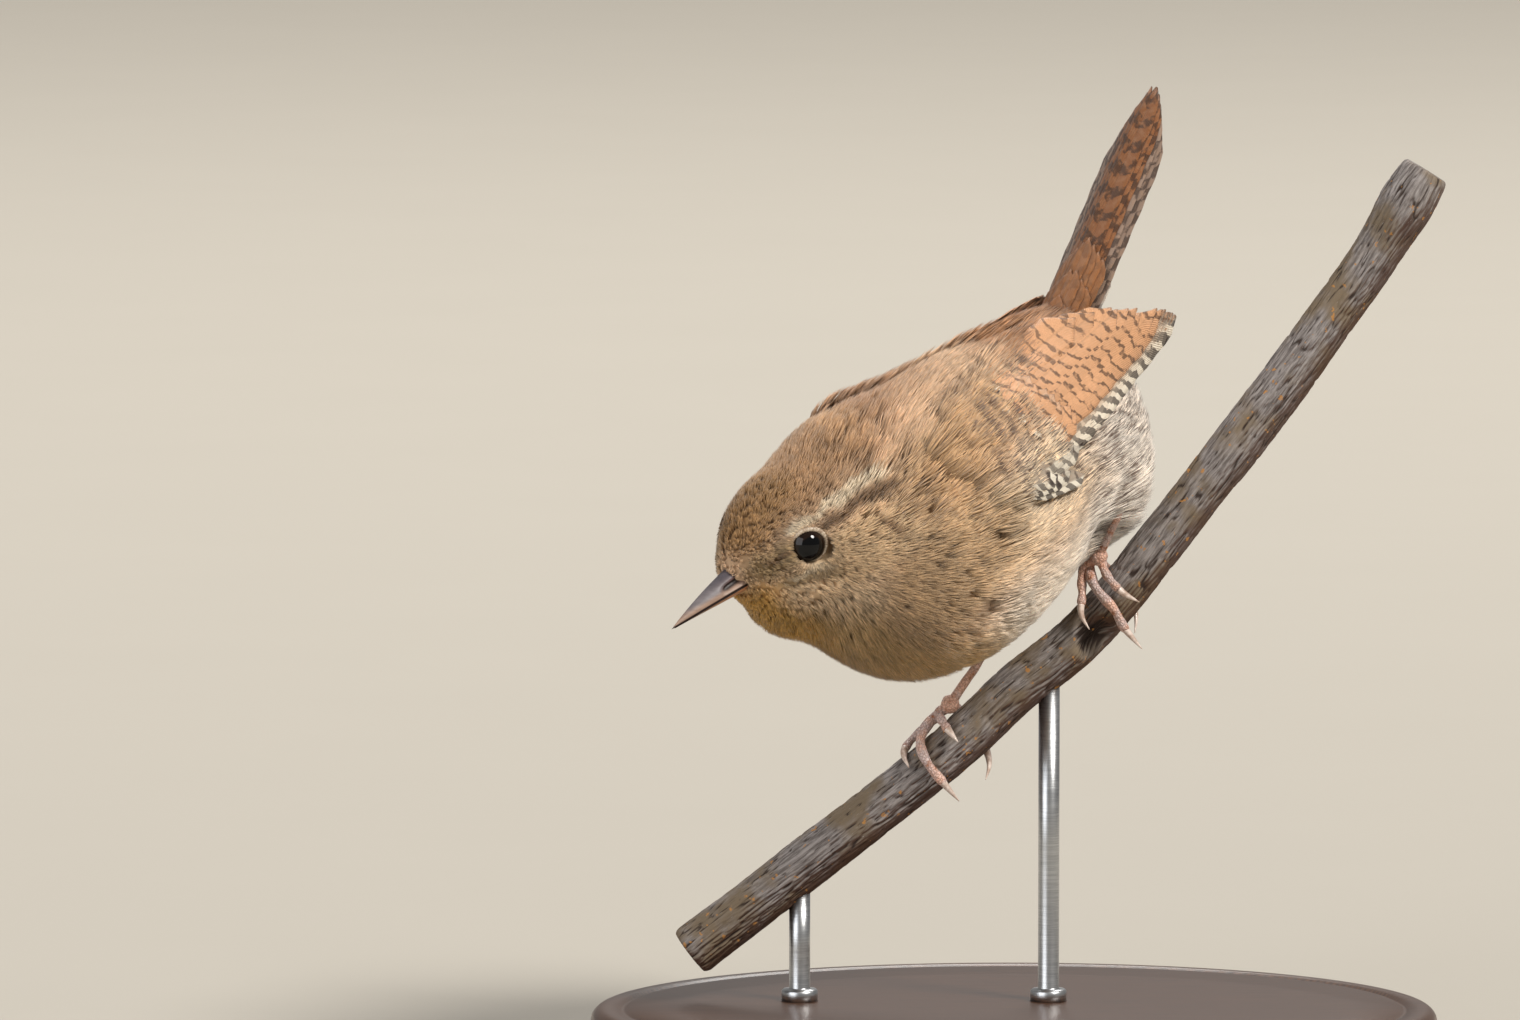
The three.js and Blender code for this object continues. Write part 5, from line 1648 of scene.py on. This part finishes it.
class WREN_OT_stage(bpy.types.Operator):
    """Set the pale floor, the soft lights and the camera"""

    bl_idname = "wren.stage"
    bl_label = "Stage"

    def execute(self, context):
        scene = context.scene
        floor = floor_piece()
        paper = Finish("paper_floor")
        grain = paper.noise(paper.place(), 0.02, 2.0)
        floor.data.materials.append(paper.shade(
            Base_Color=paper.mix(grain, linear(178, 172, 161), linear(180, 174, 163)), Roughness=0.9))
        target = np.array(CAMERA["target"]) * MM
        for name, place, width, power, tint in LIGHTS:
            data = bpy.data.lights.new(name, "AREA")
            data.size, data.energy, data.color = width, power, tint
            light = linked(name, data)
            light.location = place
            away = Vector(place) - Vector(target)
            light.rotation_euler = away.to_track_quat("Z", "Y").to_euler()
        sun = bpy.data.lights.new("key", "SUN")
        sun.angle, sun.energy, sun.color = math.radians(SUN["angle"]), SUN["strength"], SUN["colour"]
        key = linked("key", sun)
        key.rotation_euler = Vector(SUN["from"]).to_track_quat("Z", "Y").to_euler()
        world = bpy.data.worlds.new("studio")
        world.use_nodes = True
        sky = world.node_tree.nodes["Background"]
        sky.inputs["Color"].default_value = (*linear(232, 230, 228), 1)
        sky.inputs["Strength"].default_value = 0.3
        scene.world = world
        scene.view_settings.view_transform = "Standard"
        data = bpy.data.cameras.new("camera")
        data.sensor_width = SENSOR
        data.lens = CAMERA["pixels_per_mm"] * CAMERA["distance"] * SENSOR / PICTURE_WIDTH
        data.clip_end = 100.0
        camera = linked("camera", data)
        rise = math.radians(CAMERA["elevation"])
        back = np.array((0.0, -math.cos(rise), math.sin(rise)))
        camera.location = target + back * CAMERA["distance"] * MM
        camera.rotation_euler = (math.pi / 2 - rise, 0.0, 0.0)
        scene.camera = camera
        return {"FINISHED"}


PIECE_OPERATORS = (WREN_OT_skin, WREN_OT_coat, WREN_OT_wings, WREN_OT_tail, WREN_OT_face,
                   WREN_OT_legs, WREN_OT_perch, WREN_OT_stand, WREN_OT_stage)


class WREN_PT_panel(bpy.types.Panel):
    """The wren's sizes, colours and pieces in the sidebar"""

    bl_label = "Wren"
    bl_idname = "WREN_PT_panel"
    bl_space_type = "VIEW_3D"
    bl_region_type = "UI"
    bl_category = "Wren"

    def draw(self, context):
        for group in (context.scene.wren_sizes, context.scene.wren_colours):
            box = self.layout.box()
            for name in group.__annotations__:
                box.prop(group, name)
        for operator in PIECE_OPERATORS:
            self.layout.operator(operator.bl_idname)


CLASSES = (WrenColours, WrenSizes, *PIECE_OPERATORS, WREN_PT_panel)


def register():
    """Adds the classes and the scene's two groups of properties."""
    for item in CLASSES:
        bpy.utils.register_class(item)
    bpy.types.Scene.wren_colours = bpy.props.PointerProperty(type=WrenColours)
    bpy.types.Scene.wren_sizes = bpy.props.PointerProperty(type=WrenSizes)


def unregister():
    """Takes them away again."""
    del bpy.types.Scene.wren_sizes
    del bpy.types.Scene.wren_colours
    for item in reversed(CLASSES):
        bpy.utils.unregister_class(item)


def main():
    """Makes every piece."""
    register()
    bpy.ops.wren.skin()
    bpy.ops.wren.coat()
    bpy.ops.wren.wings()
    bpy.ops.wren.tail()
    bpy.ops.wren.face()
    bpy.ops.wren.legs()
    bpy.ops.wren.perch()
    bpy.ops.wren.stand()
    bpy.ops.wren.stage()


if __name__ == "__main__":
    main()
